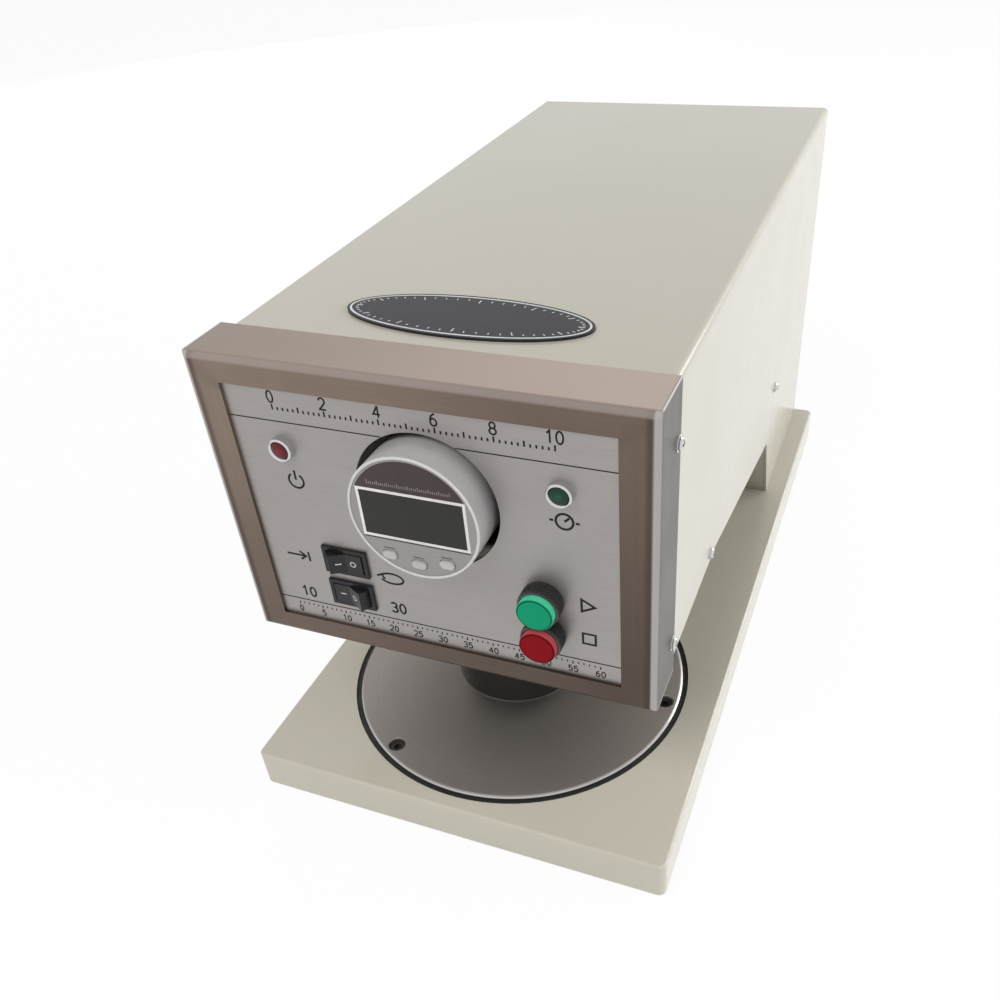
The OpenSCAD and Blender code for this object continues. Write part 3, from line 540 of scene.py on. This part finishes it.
def turned_finish(
    name, colour, centre, across, pitch, roughness, metal=1.0, bright_from=None, painted_highlight_below=None
):
    """Turned or ground steel: rings round an axis, patches, a polished rim from a radius, and a painted
    highlight on or below a height."""
    finish, tree, shader, place = new_finish(name)
    rings = effect(tree, "Turned grain", {"Place": place, "Centre": centre, "Across": across, "Pitch": pitch})
    grain = rings["Grain"]
    tone = blend_colour(tree, grain, opaque(colour, 0.82), opaque(colour, 1.15))
    level = plus(tree, times(tree, grain, 0.16), roughness - 0.08)
    rim, soft = None, 0.1 * MM
    if bright_from is not None:
        rim = ramp(tree, rings["Radius"], bright_from - soft, bright_from + soft)
    elif painted_highlight_below is not None:
        z = put(tree, "ShaderNodeSeparateXYZ", None, {0: place}).outputs[2]
        rim = ramp(tree, z, painted_highlight_below + soft, painted_highlight_below - soft)
    # The rim is paler and smoother: polish from a radius, and a painted highlight on or below a height. Its
    # patches are wear on the polish and unevenness in the highlight.
    if rim is not None:
        wear_and_sheen = smudges(tree, place, 45.0, 0.55, 1.0)
        tone = blend_colour(tree, times(tree, rim, wear_and_sheen), tone, opaque((0.5, 0.49, 0.48)))
        level = times(tree, level, minus(tree, 1.0, times(tree, rim, 0.5)))
    fill(tree, shader, {"Base Color": tone, "Metallic": metal, "Roughness": level})
    bump(tree, shader, grain, 0.004 * MM)
    return finish


def moulded_finish(name, colour, roughness, texture=900.0, depth=0.01 * MM, coat=0.0, gloss=0.5):
    """Moulded plastic or rubber: fine spark texture, patches of wear and a slight change of tone."""
    finish, tree, shader, place = new_finish(name)
    fine = effect(tree, "Orange peel", {"Place": place, "Scale": texture})["Height"]
    tone = blend_colour(tree, smudges(tree, place, 60.0), opaque(colour, 0.85), opaque(colour, 1.15))
    level = smudges(tree, place, 110.0, roughness * 0.8, roughness * 1.2)
    fill(tree, shader, {"Base Color": tone, "Roughness": level, "Specular IOR Level": gloss})
    fill(tree, shader, {"Coat Weight": coat, "Coat Roughness": 0.05})
    bump(tree, shader, fine, depth)
    return finish


def cap_finish(name, colour, centre, radius):
    """A translucent button cap: a painted highlight on its wall, a dark line round the face, and a face that
    glows faintly as painted light.
    """
    finish, tree, shader, place = new_finish(name)
    rings = effect(
        tree, "Turned grain", {"Place": place, "Centre": centre, "Across": LEVEL_AXIS, "Pitch": 1500.0}
    )

    def rim(start, stop):
        """Zero at start and one at stop, both in millimetres inside the cap's wall, and held past them."""
        return ramp(tree, rings["Radius"], radius - start * MM, radius - stop * MM)

    line = times(tree, rim(0.95, 0.8), rim(0.35, 0.5))
    tone = blend_colour(tree, rings["Grain"], opaque(colour, 0.85), opaque(colour, 1.15))
    # Painted highlight: the outermost edge of the wall is made paler.
    tone = blend_colour(tree, rim(0.12, 0.02), tone, opaque(tuple(c + 0.04 for c in colour), 1.7))
    tone = blend_colour(tree, line, tone, opaque(colour, 0.12))
    # Painted light: the cap glows faintly in its own colour, though it is no lamp.
    fill(tree, shader, {"Base Color": tone, "Emission Color": tone})
    fill(tree, shader, {"Roughness": 0.24, "Specular IOR Level": 0.06, "Emission Strength": 0.12})
    bump(tree, shader, rings["Grain"], 0.006 * MM)
    return finish


def lens_finish(name, colour, centre):
    """A small lamp's lens: rings and a pale middle under clear gloss."""
    finish, tree, shader, place = new_finish(name)
    rings = effect(
        tree, "Turned grain", {"Place": place, "Centre": centre, "Across": LEVEL_AXIS, "Pitch": 2600.0}
    )
    middle = ramp(tree, rings["Radius"], 0.5 * MM, 2.4 * MM)
    tone = blend_colour(tree, middle, opaque(colour, 1.6), opaque(colour, 0.7))
    tone = blend_colour(tree, times(tree, rings["Grain"], 0.5), tone, opaque(colour, 0.35))
    fill(tree, shader, {"Base Color": tone, "Roughness": 0.1, "Specular IOR Level": 0.3})
    bump(tree, shader, rings["Grain"], 0.12 * MM)
    return finish


def paint(nodes, finish):
    """Gives CAD nodes a finish."""
    for name in nodes:
        mesh = frame["nodes"][name].data
        mesh.materials.clear()
        mesh.materials.append(finish)


class TESTER_OT_effects(bpy.types.Operator):
    """Makes the shader groups that the finishes share"""

    bl_idname = "tester.effects"
    bl_label = "Shared effects"

    def execute(self, context):
        for make in (make_brushed_grain, make_turned_grain, make_orange_peel, make_box_edges, make_smudges):
            make()
        return {"FINISHED"}


class TESTER_OT_enamel(bpy.types.Operator):
    """Paints the base, the cover, the throat plate and the back panel with gloss enamel"""

    bl_idname = "tester.enamel"
    bl_label = "Enamelled parts"

    def execute(self, context):
        colour = context.scene.tester_colours.enamel
        # The base's copy of the enamel is made lighter as painted light, to make up for the shade under the
        # head.
        for node, painted_lightening, peel, depth in (
            ("base_plate", 1.13, 300.0, 0.13 * MM),
            ("head_cover", 1.0, 240.0, 0.012 * MM),
            ("throat_plate", 1.0, 240.0, 0.02 * MM),
            ("rear_panel", 1.0, 240.0, 0.02 * MM),
        ):
            coat = enamel_finish("enamel_" + node, [c * painted_lightening for c in colour], *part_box(node), peel, depth)
            paint([node], coat)
        return {"FINISHED"}


class TESTER_OT_bezel(bpy.types.Operator):
    """Gives the bezel its brushed steel, and the screws and washers on the walls their plating"""

    bl_idname = "tester.bezel"
    bl_label = "Bezel and screws"

    def execute(self, context):
        colours = context.scene.tester_colours
        bar = 14.5 * MM
        paint(["bezel_frame"], bezel_finish(colours.bezel, *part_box("bezel_frame"), bar))
        plate = brushed_finish("bright_plating", colours.bright, (900.0,) * 3, 0.2, 0.008 * MM)
        paint(["bezel_screws", "cover_screws", "side_washers", "rear_screws", "foot_screws"], plate)
        return {"FINISHED"}


class TESTER_OT_platen(bpy.types.Operator):
    """Gives the platen, its ring and its screws their ground and polished finishes, and the presser foot dark
    steel as a painted dark reflection with a painted highlight on its lower edge
    """

    bl_idname = "tester.platen"
    bl_label = "Platen and foot"

    def execute(self, context):
        colour = context.scene.tester_colours.platen
        middle, half = middle_and_half("platen")
        axis = ((0.0, middle[1], 0.0), UPRIGHT_AXIS)
        bevel = half[0] - 0.7 * MM
        foot_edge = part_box("presser_foot")[0].z + 3.1 * MM
        paint(["platen"], turned_finish("ground_platen", colour, *axis, 900.0, 0.58, bright_from=bevel))
        # The presser foot's steel is painted dark, as a painted dark reflection of the shaded head above it,
        # and its lower edge gets a painted highlight.
        dark = (0.075, 0.071, 0.069)
        foot = turned_finish("turned_foot", dark, *axis, 1800.0, 0.26, painted_highlight_below=foot_edge)
        paint(["presser_foot"], foot)
        paint(["spindle"], turned_finish("turned_spindle", (0.6, 0.6, 0.6), *axis, 1800.0, 0.2))
        rubber = moulded_finish("black_rubber", (0.014, 0.014, 0.014), 0.6, 700.0, 0.03 * MM)
        paint(["platen_seal", "rubber_feet"], rubber)
        oxide = moulded_finish("black_oxide", (0.03, 0.03, 0.032), 0.35)
        paint(["platen_screws", "overarm_bolts", "column_bolts"], oxide)
        return {"FINISHED"}


class TESTER_OT_mechanism(bpy.types.Operator):
    """Paints the castings, drive, weight and electrics inside the head"""

    bl_idname = "tester.mechanism"
    bl_label = "Inner parts"

    def execute(self, context):
        casting = context.scene.tester_colours.casting
        paint(["column", "overarm"], moulded_finish("painted_casting", casting, 0.5, 260.0, 0.1 * MM))
        machined = brushed_finish("machined_steel", (0.52, 0.52, 0.53), (600.0, 600.0, 90.0), 0.3)
        paint(
            ["gauge_arm", "loading_weight", "lift_yoke", "follower_pin", "spindle_nut", "lift_cam", "cam_shaft",
             "motor_bracket", "rear_rails", "panel_clips", "gauge_stem", "gauge_plunger", "gauge_clamp"],
            machined,
        )
        paint(["guide_bush"], brushed_finish("turned_bronze", (0.5, 0.3, 0.1), (300.0, 300.0, 900.0), 0.3))
        paint(["cam_motor", "transformer"], brushed_finish("zinc_cans", (0.35, 0.35, 0.36), (500.0,) * 3, 0.4))
        lacquer = moulded_finish("circuit_lacquer", (0.02, 0.12, 0.05), 0.3, 500.0, 0.03 * MM, coat=0.4)
        paint(["circuit_board"], lacquer)
        return {"FINISHED"}


class TESTER_OT_panel(bpy.types.Operator):
    """Gives the panel its satin aluminium, and prints its lines, numbers, graduations and symbols"""

    bl_idname = "tester.panel"
    bl_label = "Panel and print"

    def execute(self, context):
        colours, sizes = context.scene.tester_colours, context.scene.tester_sizes
        grain = (120.0, 500.0, 2600.0)
        panel = brushed_finish("panel_aluminium", colours.panel, grain, 0.42, 0.004 * MM, metal=0.75)
        paint(["panel_plate"], panel)
        ink = moulded_finish("panel_ink", colours.print_ink, 0.5, 900.0, 0.004 * MM, gloss=0.15)

        # All the print is laid out in millimetres from the middle of the base's top.
        digit = 5.4
        seconds = number("10", *self.beside("lower_rocker", -25.0, -7.6), digit)
        seconds += number("30", *self.beside("lower_rocker", 22.5, -6.2), digit)
        upper = graduations(
            ends=(-62.0, 60.0), ticks=51, tick_z=202.0, reach=1.4, extra=1.1,
            labels=range(0, 11, 2), label_z=205.3, height=5.2,
        )
        lower = graduations(
            ends=(-75.0, 75.0), ticks=61, tick_z=97.0, reach=-1.0, extra=-0.6,
            labels=range(0, 61, 5), label_z=91.0, height=3.2,
        )
        plane = ((0, PANEL_FRONT, DECK), (1, 0, 0), (0, 0, 1), (0, -1, 0))
        for name, strokes, width in (
            ("panel_lines", self.lines(), sizes.line),
            ("upper_graduations", upper, 0.75 * MM),
            ("lower_graduations", lower, 0.55 * MM),
            ("panel_symbols", self.symbols(), 1.0 * MM),
            ("panel_numbers", seconds, 0.95 * MM),
        ):
            # Strokes that cross have different heights, so that no two faces coincide.
            parts = [
                band(np.asarray(path) * MM, width, sizes.ink * (1 + 0.2 * (i % 3)), plane, closed)
                for i, (path, closed) in enumerate(strokes)
            ]
            add_piece(name, parts, "frame", ink)
        return {"FINISHED"}

    @staticmethod
    def beside(node, along, up):
        """A place beside a lamp, switch or button, in millimetres from the middle of the deck."""
        middle = middle_and_half(node)[0]
        return middle[[0, 2]] / MM - (0, DECK / MM) + (along, up)

    def lines(self):
        """The two level lines across the panel. The upper one stops at the gauge's hole."""
        edge, upper, lower = 84.3, 196.6, 98.9
        gauge_x, gauge_z = self.beside("gauge_case", 0.0, 0.0)
        hole = middle_and_half("gauge_case")[1][0] / MM + 3.4
        gap = math.sqrt(hole**2 - (upper - gauge_z) ** 2)
        return [
            ([(-edge, upper), (gauge_x - gap, upper)], False),
            ([(gauge_x + gap, upper), (edge, upper)], False),
            ([(-edge, lower), (edge, lower)], False),
        ]

    def symbols(self):
        """The signs for power, reading, single run, repeat, start and stop."""
        dial = (3.6, 3.6)
        x, z = self.beside("red_lamp", 2.2, -16.3)
        strokes = [(arc((x, z), dial, 125, 415, 33), False), ([(x, z + 5.2), (x, z + 0.5)], False)]
        x, z = self.beside("green_lamp", 0.6, -13.6)
        strokes += [(oval((x, z), dial, 33), True), ([(x, z), (x + 2.1, z + 2.0)], False)]
        strokes += [([(x + side * 6.2, z), (x + side * 4.6, z)], False) for side in (-1, 1)]
        x, z = self.beside("upper_rocker", -26.5, -2.0)
        strokes += [
            ([(x - 5, z), (x + 5, z)], False),
            ([(x + 2, z + 2.3), (x + 5, z), (x + 2, z - 2.3)], False),
            ([(x + 6.6, z + 2.6), (x + 6.6, z - 2.6)], False),
        ]
        x, z = self.beside("upper_rocker", 22.0, -5.2)
        strokes += [
            (arc((x, z), (5.6, 2.8), -160, 150, 41), False),
            ([(x - 7.4, z + 0.4), (x - 4.9, z + 1.6), (x - 3.7, z - 0.9)], False),
        ]
        x, z = self.beside("start_button", 19.4, 0.6)
        strokes += [([(x - 2.8, z - 3.2), (x - 2.8, z + 3.2), (x + 3.0, z)], True)]
        x, z = self.beside("stop_button", 19.4, 0.9)
        return [*strokes, ([(x + 2.8 * u, z + 2.8 * v) for u, v in SQUARE], True)]


class TESTER_OT_badge(bpy.types.Operator):
    """Gives the oval plate its dark foil, its pale ring and its graduations"""

    bl_idname = "tester.badge"
    bl_label = "Oval plate"

    def execute(self, context):
        colours, sizes = context.scene.tester_colours, context.scene.tester_sizes
        grain = (120.0, 1500.0, 400.0)
        foil = brushed_finish("oval_foil", colours.badge, grain, 0.44, 0.003 * MM, metal=0.1, gloss=0.38)
        paint(["badge_plate"], foil)
        pale = moulded_finish("pale_print", (0.62, 0.63, 0.64), 0.4, 900.0, 0.002 * MM)
        middle, half = middle_and_half("badge_plate")
        plane = (middle + (0, 0, half[2]), (1, 0, 0), (0, 1, 0), (0, 0, 1))
        half, step = half[:2], 6
        ring, outer = half - 1.7 * MM, half - 4.0 * MM
        parts = [band(oval((0, 0), ring, 160), sizes.ring_line, sizes.ink, plane, True)]
        for i, angle in enumerate(np.radians(np.arange(0, 360, step))):
            outward = np.array([math.cos(angle), math.sin(angle)])
            inner = half - (5.2 + 1.6 * (i % 5 == 0)) * MM
            parts.append(band([outer * outward, inner * outward], 0.5 * MM, sizes.ink, plane))
        add_piece("oval_ring", parts, "frame", pale)
        return {"FINISHED"}


class TESTER_OT_gauge(bpy.types.Operator):
    """Finishes the digital gauge's case, face, window, display and keys, and prints its lines"""

    bl_idname = "tester.gauge"
    bl_label = "Digital gauge"

    def execute(self, context):
        colours, sizes = context.scene.tester_colours, context.scene.tester_sizes
        keys = ["gauge_key_left", "gauge_key_middle", "gauge_key_right"]
        case = brushed_finish("silver_case", (0.66, 0.65, 0.65), (1500.0,) * 3, 0.3, 0.002 * MM, metal=0.35)
        paint(["gauge_case"], case)
        gauge_x, gauge_z = middle_and_half("gauge_case")[0][[0, 2]]
        axis = ((gauge_x, 0.0, gauge_z), LEVEL_AXIS)
        paint(["gauge_face"], turned_finish("silver_face", (0.30, 0.285, 0.28), *axis, 1400.0, 0.36, metal=0.4))
        window = moulded_finish("brown_window", colours.window, 0.16, 300.0, 0.002 * MM, gloss=0.4)
        paint(["gauge_window"], window)
        glass = moulded_finish("display_glass", (0.012, 0.013, 0.009), 0.16, 300.0, 0.001 * MM, gloss=0.35)
        paint(["gauge_display"], glass)
        paint(keys, moulded_finish("silver_keys", (0.46, 0.455, 0.45), 0.3, 500.0, 0.006 * MM, coat=0.2))

        white = moulded_finish("white_print", (0.72, 0.71, 0.69), 0.35, 700.0, 0.002 * MM)
        dim = moulded_finish("dim_print", (0.26, 0.23, 0.22), 0.4, 700.0, 0.002 * MM)
        dark = moulded_finish("dark_print", colours.print_ink, 0.4, 700.0, 0.002 * MM)
        directions = ((1, 0, 0), (0, 0, 1), (0, -1, 0))
        plane = ((0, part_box("gauge_window")[0].y, 0), *directions)
        middle, half = middle_and_half("gauge_display")
        half = half + sizes.frame_line / 2
        corners = [(middle + half * (u, 0, v))[[0, 2]] for u, v in SQUARE]
        line = band(corners, sizes.frame_line, sizes.ink, plane, True)
        add_piece("display_frame", [line], "frame", white)

        foot, reach, extra = gauge_z + 14.2 * MM, 1.2 * MM, 0.7 * MM
        ticks = []
        for i, x in enumerate(gauge_x + np.linspace(-18, 18, 41) * MM):
            head = foot + reach + extra * (i % 5 == 0)
            ticks.append(band([(x, foot), (x, head)], 0.3 * MM, sizes.ink, plane))
        add_piece("window_graduations", ticks, "frame", dim)

        plane = ((0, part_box("gauge_face")[0].y, 0), *directions)
        above, reach = 1.3 * MM, 2.4 * MM
        marks = []
        for key in keys:
            middle, half = middle_and_half(key)
            x, z = middle[0], middle[2] + half[2] + above
            marks.append(band([(x - reach, z), (x + reach, z)], 0.35 * MM, sizes.ink, plane))
        add_piece("key_marks", marks, "frame", dark)
        return {"FINISHED"}


class TESTER_OT_lamps(bpy.types.Operator):
    """Finishes the two indicator lamps and their bright collars"""

    bl_idname = "tester.lamps"
    bl_label = "Indicator lamps"

    def execute(self, context):
        bright = context.scene.tester_colours.bright
        paint(["lamp_collars"], brushed_finish("lamp_plating", bright, (700.0,) * 3, 0.16, 0.006 * MM))
        for node, colour in (("red_lamp", (0.15, 0.003, 0.008)), ("green_lamp", (0.003, 0.05, 0.022))):
            paint([node], lens_finish(node + "_lens", colour, middle_and_half(node)[0] * LEVEL_AXIS))
        return {"FINISHED"}


class TESTER_OT_buttons(bpy.types.Operator):
    """Finishes the push buttons, and adds the ribs round their collars and the thin line at the opening"""

    bl_idname = "tester.buttons"
    bl_label = "Push buttons"

    def execute(self, context):
        colours, sizes = context.scene.tester_colours, context.scene.tester_sizes
        black = moulded_finish("collar_black", (0.012, 0.012, 0.013), 0.3, 900.0, 0.01 * MM, coat=0.2)
        paint(["button_collars"], black)
        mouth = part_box("button_collars")[0].y
        outer = middle_and_half("button_collars")[1][0]
        for node, colour in (("start_button", colours.start_cap), ("stop_button", colours.stop_cap)):
            middle, half = middle_and_half(node)
            centre, radius = middle * LEVEL_AXIS, half[0]
            paint([node], cap_finish(node + "_cap", colour, centre, radius))

            # Outlines as [radius, depth]: the ribs sink into the collar's side, the line into its mouth.
            inside, outside = outer - 0.2 * MM, outer + 0.05 * MM
            profile = [
                (inside, mouth + 1.1 * MM), (outside, mouth + 1.3 * MM),
                (outside, PANEL_FRONT - 1.2 * MM), (inside, PANEL_FRONT - 1.0 * MM),
            ]
            wave = (lambda angle: sizes.rib_depth * (0.5 + 0.5 * np.cos(sizes.ribs * angle)), (0, 1, 1, 0))
            ribs = turned(profile, centre, sizes.ribs * 6, wave)
            add_piece(node + "_ribs", [ribs], "frame", black)
            seal = [
                (radius + 0.22 * MM, mouth - 0.05 * MM), (radius + 0.5 * MM, mouth - 0.12 * MM),
                (radius + 0.8 * MM, mouth - 0.05 * MM), (radius + 0.6 * MM, mouth + 0.2 * MM),
            ]
            line = brushed_finish(node + "_line", (0.12, 0.12, 0.12), (800.0,) * 3, 0.3, 0.002 * MM)
            add_piece(node + "_rim", [turned(seal, centre)], "frame", line)
        return {"FINISHED"}


class TESTER_OT_switches(bpy.types.Operator):
    """Finishes the three rocker switches and prints a dash and a ring on each rocker"""

    bl_idname = "tester.switches"
    bl_label = "Rocker switches"

    def execute(self, context):
        black = moulded_finish("switch_black", (0.010, 0.010, 0.012), 0.34, 1200.0, 0.012 * MM, gloss=0.3)
        gloss = moulded_finish("rocker_black", (0.012, 0.012, 0.014), 0.26, 1400.0, 0.008 * MM, 0.05, gloss=0.3)
        white = moulded_finish("switch_marks", (0.6, 0.6, 0.6), 0.4, 900.0, 0.002 * MM)
        paint(["rocker_frames", "power_switch_frame", "mains_inlet", "fuse_holder"], black)
        paint(["upper_rocker", "lower_rocker", "power_rocker"], gloss)
        joints = {joint["child"]: joint for joint in frame["joints"]}
        for node, body, front, turn in (
            ("upper_rocker", "upper_switch", -1, 1),
            ("lower_rocker", "lower_switch", -1, -1),
            ("power_rocker", "mains_switch", 1, -1),
        ):
            marks = self.marks(node, joints[body]["pos_m"], front, turn)
            add_piece(node + "_marks", marks, body, white)
        return {"FINISHED"}

    @staticmethod
    def marks(node, pivot, front, turn):
        """A dash on one half of a rocker's face and a ring on the other. The halves fall away from their crease
        by the tilt, and the whole rocker is turned about its pivot by it, so that one half stands level and the
        other slopes twice as much."""
        tilt, dip, width = math.radians(14.0), 3.3 * MM, 0.5 * MM
        dash, ring, ring_place = [(2.2 * MM, 0), (5.0 * MM, 0)], (1.25 * MM, 1.25 * MM), (3.4 * MM, 0)
        ink = bpy.context.scene.tester_sizes.ink
        crease = np.array([turn * math.sin(tilt), -math.cos(tilt), 0.0]) * -front * dip + pivot
        crease[2] = middle_and_half(node)[0][2]
        parts = []
        for side in (-1, 1):
            slope = 2 * tilt if side == -turn else 0.0
            u = np.array([side * math.cos(slope), -math.sin(slope), 0.0]) * -front
            w = np.array([u[1], -u[0], 0.0])
            plane = (crease, u, (0.0, 0.0, 1.0), w * np.sign(w[1] * front))
            if side == -1:
                parts.append(band(dash, width, ink, plane))
            else:
                parts.append(band(oval(ring_place, ring, 32), width, ink, plane, True))
        return parts


class TESTER_OT_stage(bpy.types.Operator):
    """Sets up the pale floor, the soft lamps, the surroundings and the camera"""

    bl_idname = "tester.stage"
    bl_label = "Studio"

    def execute(self, context):
        scene, studio = context.scene, context.scene.tester_studio
        scene.view_settings.view_transform = "Standard"
        self.floor(scene)
        self.surroundings(scene, studio)
        self.lamps(scene, studio)
        self.camera(scene, studio)
        return {"FINISHED"}

    def floor(self, scene):
        """A large flat floor under the feet."""
        reach = 6.0
        floor = bpy.data.meshes.new("floor")
        floor.from_pydata([(u * reach, v * reach, 0) for u, v in SQUARE], [], [(0, 1, 2, 3)])
        floor.materials.append(self.floor_finish())
        ground = bpy.data.objects.new("floor", floor)
        scene.collection.objects.link(ground)

    def lamps(self, scene, studio):
        """Four soft discs that face the tester. Only the rim lamp shows in gloss."""
        centre = np.array([0.0, 0.0, 0.13])
        for name, place, size, power, tint in (
            ("side_lamp", (1.7, 0.1, 0.6), 1.1, studio.key, (0.96, 0.98, 1.0)),
            ("rim_lamp", (1.4, 1.55, 0.9), 1.0, studio.rim, (1.0, 1.0, 1.0)),
            ("back_lamp", (-1.3, 1.7, 0.45), 1.0, studio.back, (1.0, 1.0, 1.0)),
            ("front_lamp", (-0.5, -1.6, 2.0), 1.4, studio.fill, (1.0, 0.99, 0.98)),
        ):
            lamp = bpy.data.lights.new(name, "AREA")
            lamp.shape, lamp.size, lamp.energy, lamp.color = "DISK", size, power, tint
            holder = bpy.data.objects.new(name, lamp)
            holder.matrix_world = self.look(np.array(place), centre)
            holder.visible_glossy = name == "rim_lamp"
            scene.collection.objects.link(holder)

    def look(self, place, target):
        """The matrix of something at a place whose -z points at a target."""
        back = (place - target) / np.linalg.norm(place - target)
        right = np.cross((0.0, 0.0, 1.0), back)
        right /= np.linalg.norm(right)
        return self.matrix(right, np.cross(back, right), back, place)

    @staticmethod
    def matrix(right, up, back, place):
        """The matrix of something at a place, from the directions of its x, y and z."""
        return Matrix([*np.stack([right, up, back, place], 1).tolist(), [0, 0, 0, 1]])

    @staticmethod
    def background_rays(tree):
        """One where a ray is one that the camera, a gloss or a clear material sends, and zero elsewhere."""
        path = tree.nodes.new("ShaderNodeLightPath").outputs
        seen = plus(tree, path["Is Camera Ray"], path["Is Glossy Ray"])
        return calculate(tree, "MINIMUM", plus(tree, seen, path["Is Transmission Ray"]), 1.0)

    def floor_finish(self):
        """A pale floor that keeps a light shadow and reads white to the camera."""
        glow_share = 0.94
        finish = bpy.data.materials.new("floor_white")
        finish.use_nodes = True
        tree = finish.node_tree
        tree.nodes.remove(tree.nodes["Principled BSDF"])
        matt = put(tree, "ShaderNodeBsdfDiffuse", None, {"Color": (0.95, 0.95, 0.95, 1.0)})
        glow = put(tree, "ShaderNodeEmission", None, {"Color": (1, 1, 1, 1), "Strength": 1.0})
        share = times(tree, self.background_rays(tree), glow_share)
        mix = put(tree, "ShaderNodeMixShader", None, {0: share, 1: matt.outputs[0], 2: glow.outputs[0]})
        tree.links.new(mix.outputs[0], tree.nodes["Material Output"].inputs["Surface"])
        return finish

    def surroundings(self, scene, studio):
        """White to the camera and to gloss, and an even soft light to everything else."""
        world = bpy.data.worlds.new("studio")
        scene.world = world
        world.use_nodes = True
        tree = world.node_tree
        light = fill(tree, tree.nodes["Background"], {"Color": (1, 1, 1, 1), "Strength": studio.ambient})
        white = put(tree, "ShaderNodeBackground", None, {"Color": (1, 1, 1, 1), "Strength": 1.0})
        share = self.background_rays(tree)
        mix = put(tree, "ShaderNodeMixShader", None, {0: share, 1: light.outputs[0], 2: white.outputs[0]})
        tree.links.new(mix.outputs[0], tree.nodes["World Output"].inputs["Surface"])

    def camera(self, scene, studio):
        """The photograph's viewing angle, for a square picture 1000 points wide. The three directions and the
        place, in front of the bezel and above the deck, were worked out from the outlines of the real one."""
        data = bpy.data.cameras.new("view")
        data.sensor_width = 36.0
        data.lens = studio.lens
        data.shift_x, data.shift_y = -0.0326, 0.0581
        data.clip_start, data.clip_end = 0.05, 50.0
        right = (0.93036239, 0.36088928, -0.06468973)
        up = (-0.17452864, 0.59108962, 0.78749782)
        back = (0.32243695, -0.72136814, 0.61291307)
        place = (0.17266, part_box("bezel_frame")[0].y - 0.27846, DECK + 0.38770)
        camera = bpy.data.objects.new("view", data)
        camera.matrix_world = self.matrix(right, up, back, place)
        scene.collection.objects.link(camera)
        scene.camera = camera


SETTINGS = (TesterColours, TesterSizes, TesterStudio)
STEPS = (
    TESTER_OT_stage, TESTER_OT_effects, TESTER_OT_enamel, TESTER_OT_bezel,
    TESTER_OT_platen, TESTER_OT_mechanism, TESTER_OT_panel, TESTER_OT_badge,
    TESTER_OT_gauge, TESTER_OT_lamps, TESTER_OT_buttons, TESTER_OT_switches,
)


class TESTER_PT_sidebar(bpy.types.Panel):
    """Lists the tester's settings and its steps"""

    bl_idname = "TESTER_PT_sidebar"
    bl_label = "Fabric thickness tester"
    bl_space_type = "VIEW_3D"
    bl_region_type = "UI"
    bl_category = "Tester"

    def draw(self, context):
        layout, scene = self.layout, context.scene
        for group in (scene.tester_colours, scene.tester_sizes, scene.tester_studio):
            box = layout.box()
            for name in group.bl_rna.properties.keys():
                if name not in ("rna_type", "name"):
                    box.prop(group, name)
        for step in STEPS:
            layout.operator(step.bl_idname)


def register():
    """Makes the settings, steps and sidebar known."""
    for kind in (*SETTINGS, *STEPS, TESTER_PT_sidebar):
        bpy.utils.register_class(kind)
    bpy.types.Scene.tester_colours = PointerProperty(type=TesterColours)
    bpy.types.Scene.tester_sizes = PointerProperty(type=TesterSizes)
    bpy.types.Scene.tester_studio = PointerProperty(type=TesterStudio)


def unregister():
    """Takes them out again."""
    del bpy.types.Scene.tester_studio
    del bpy.types.Scene.tester_sizes
    del bpy.types.Scene.tester_colours
    for kind in reversed((*SETTINGS, *STEPS, TESTER_PT_sidebar)):
        bpy.utils.unregister_class(kind)


def main():
    """Runs every step in order."""
    register()
    for step in STEPS:
        getattr(bpy.ops.tester, step.bl_idname.split(".")[1])()


if __name__ == "__main__":
    main()
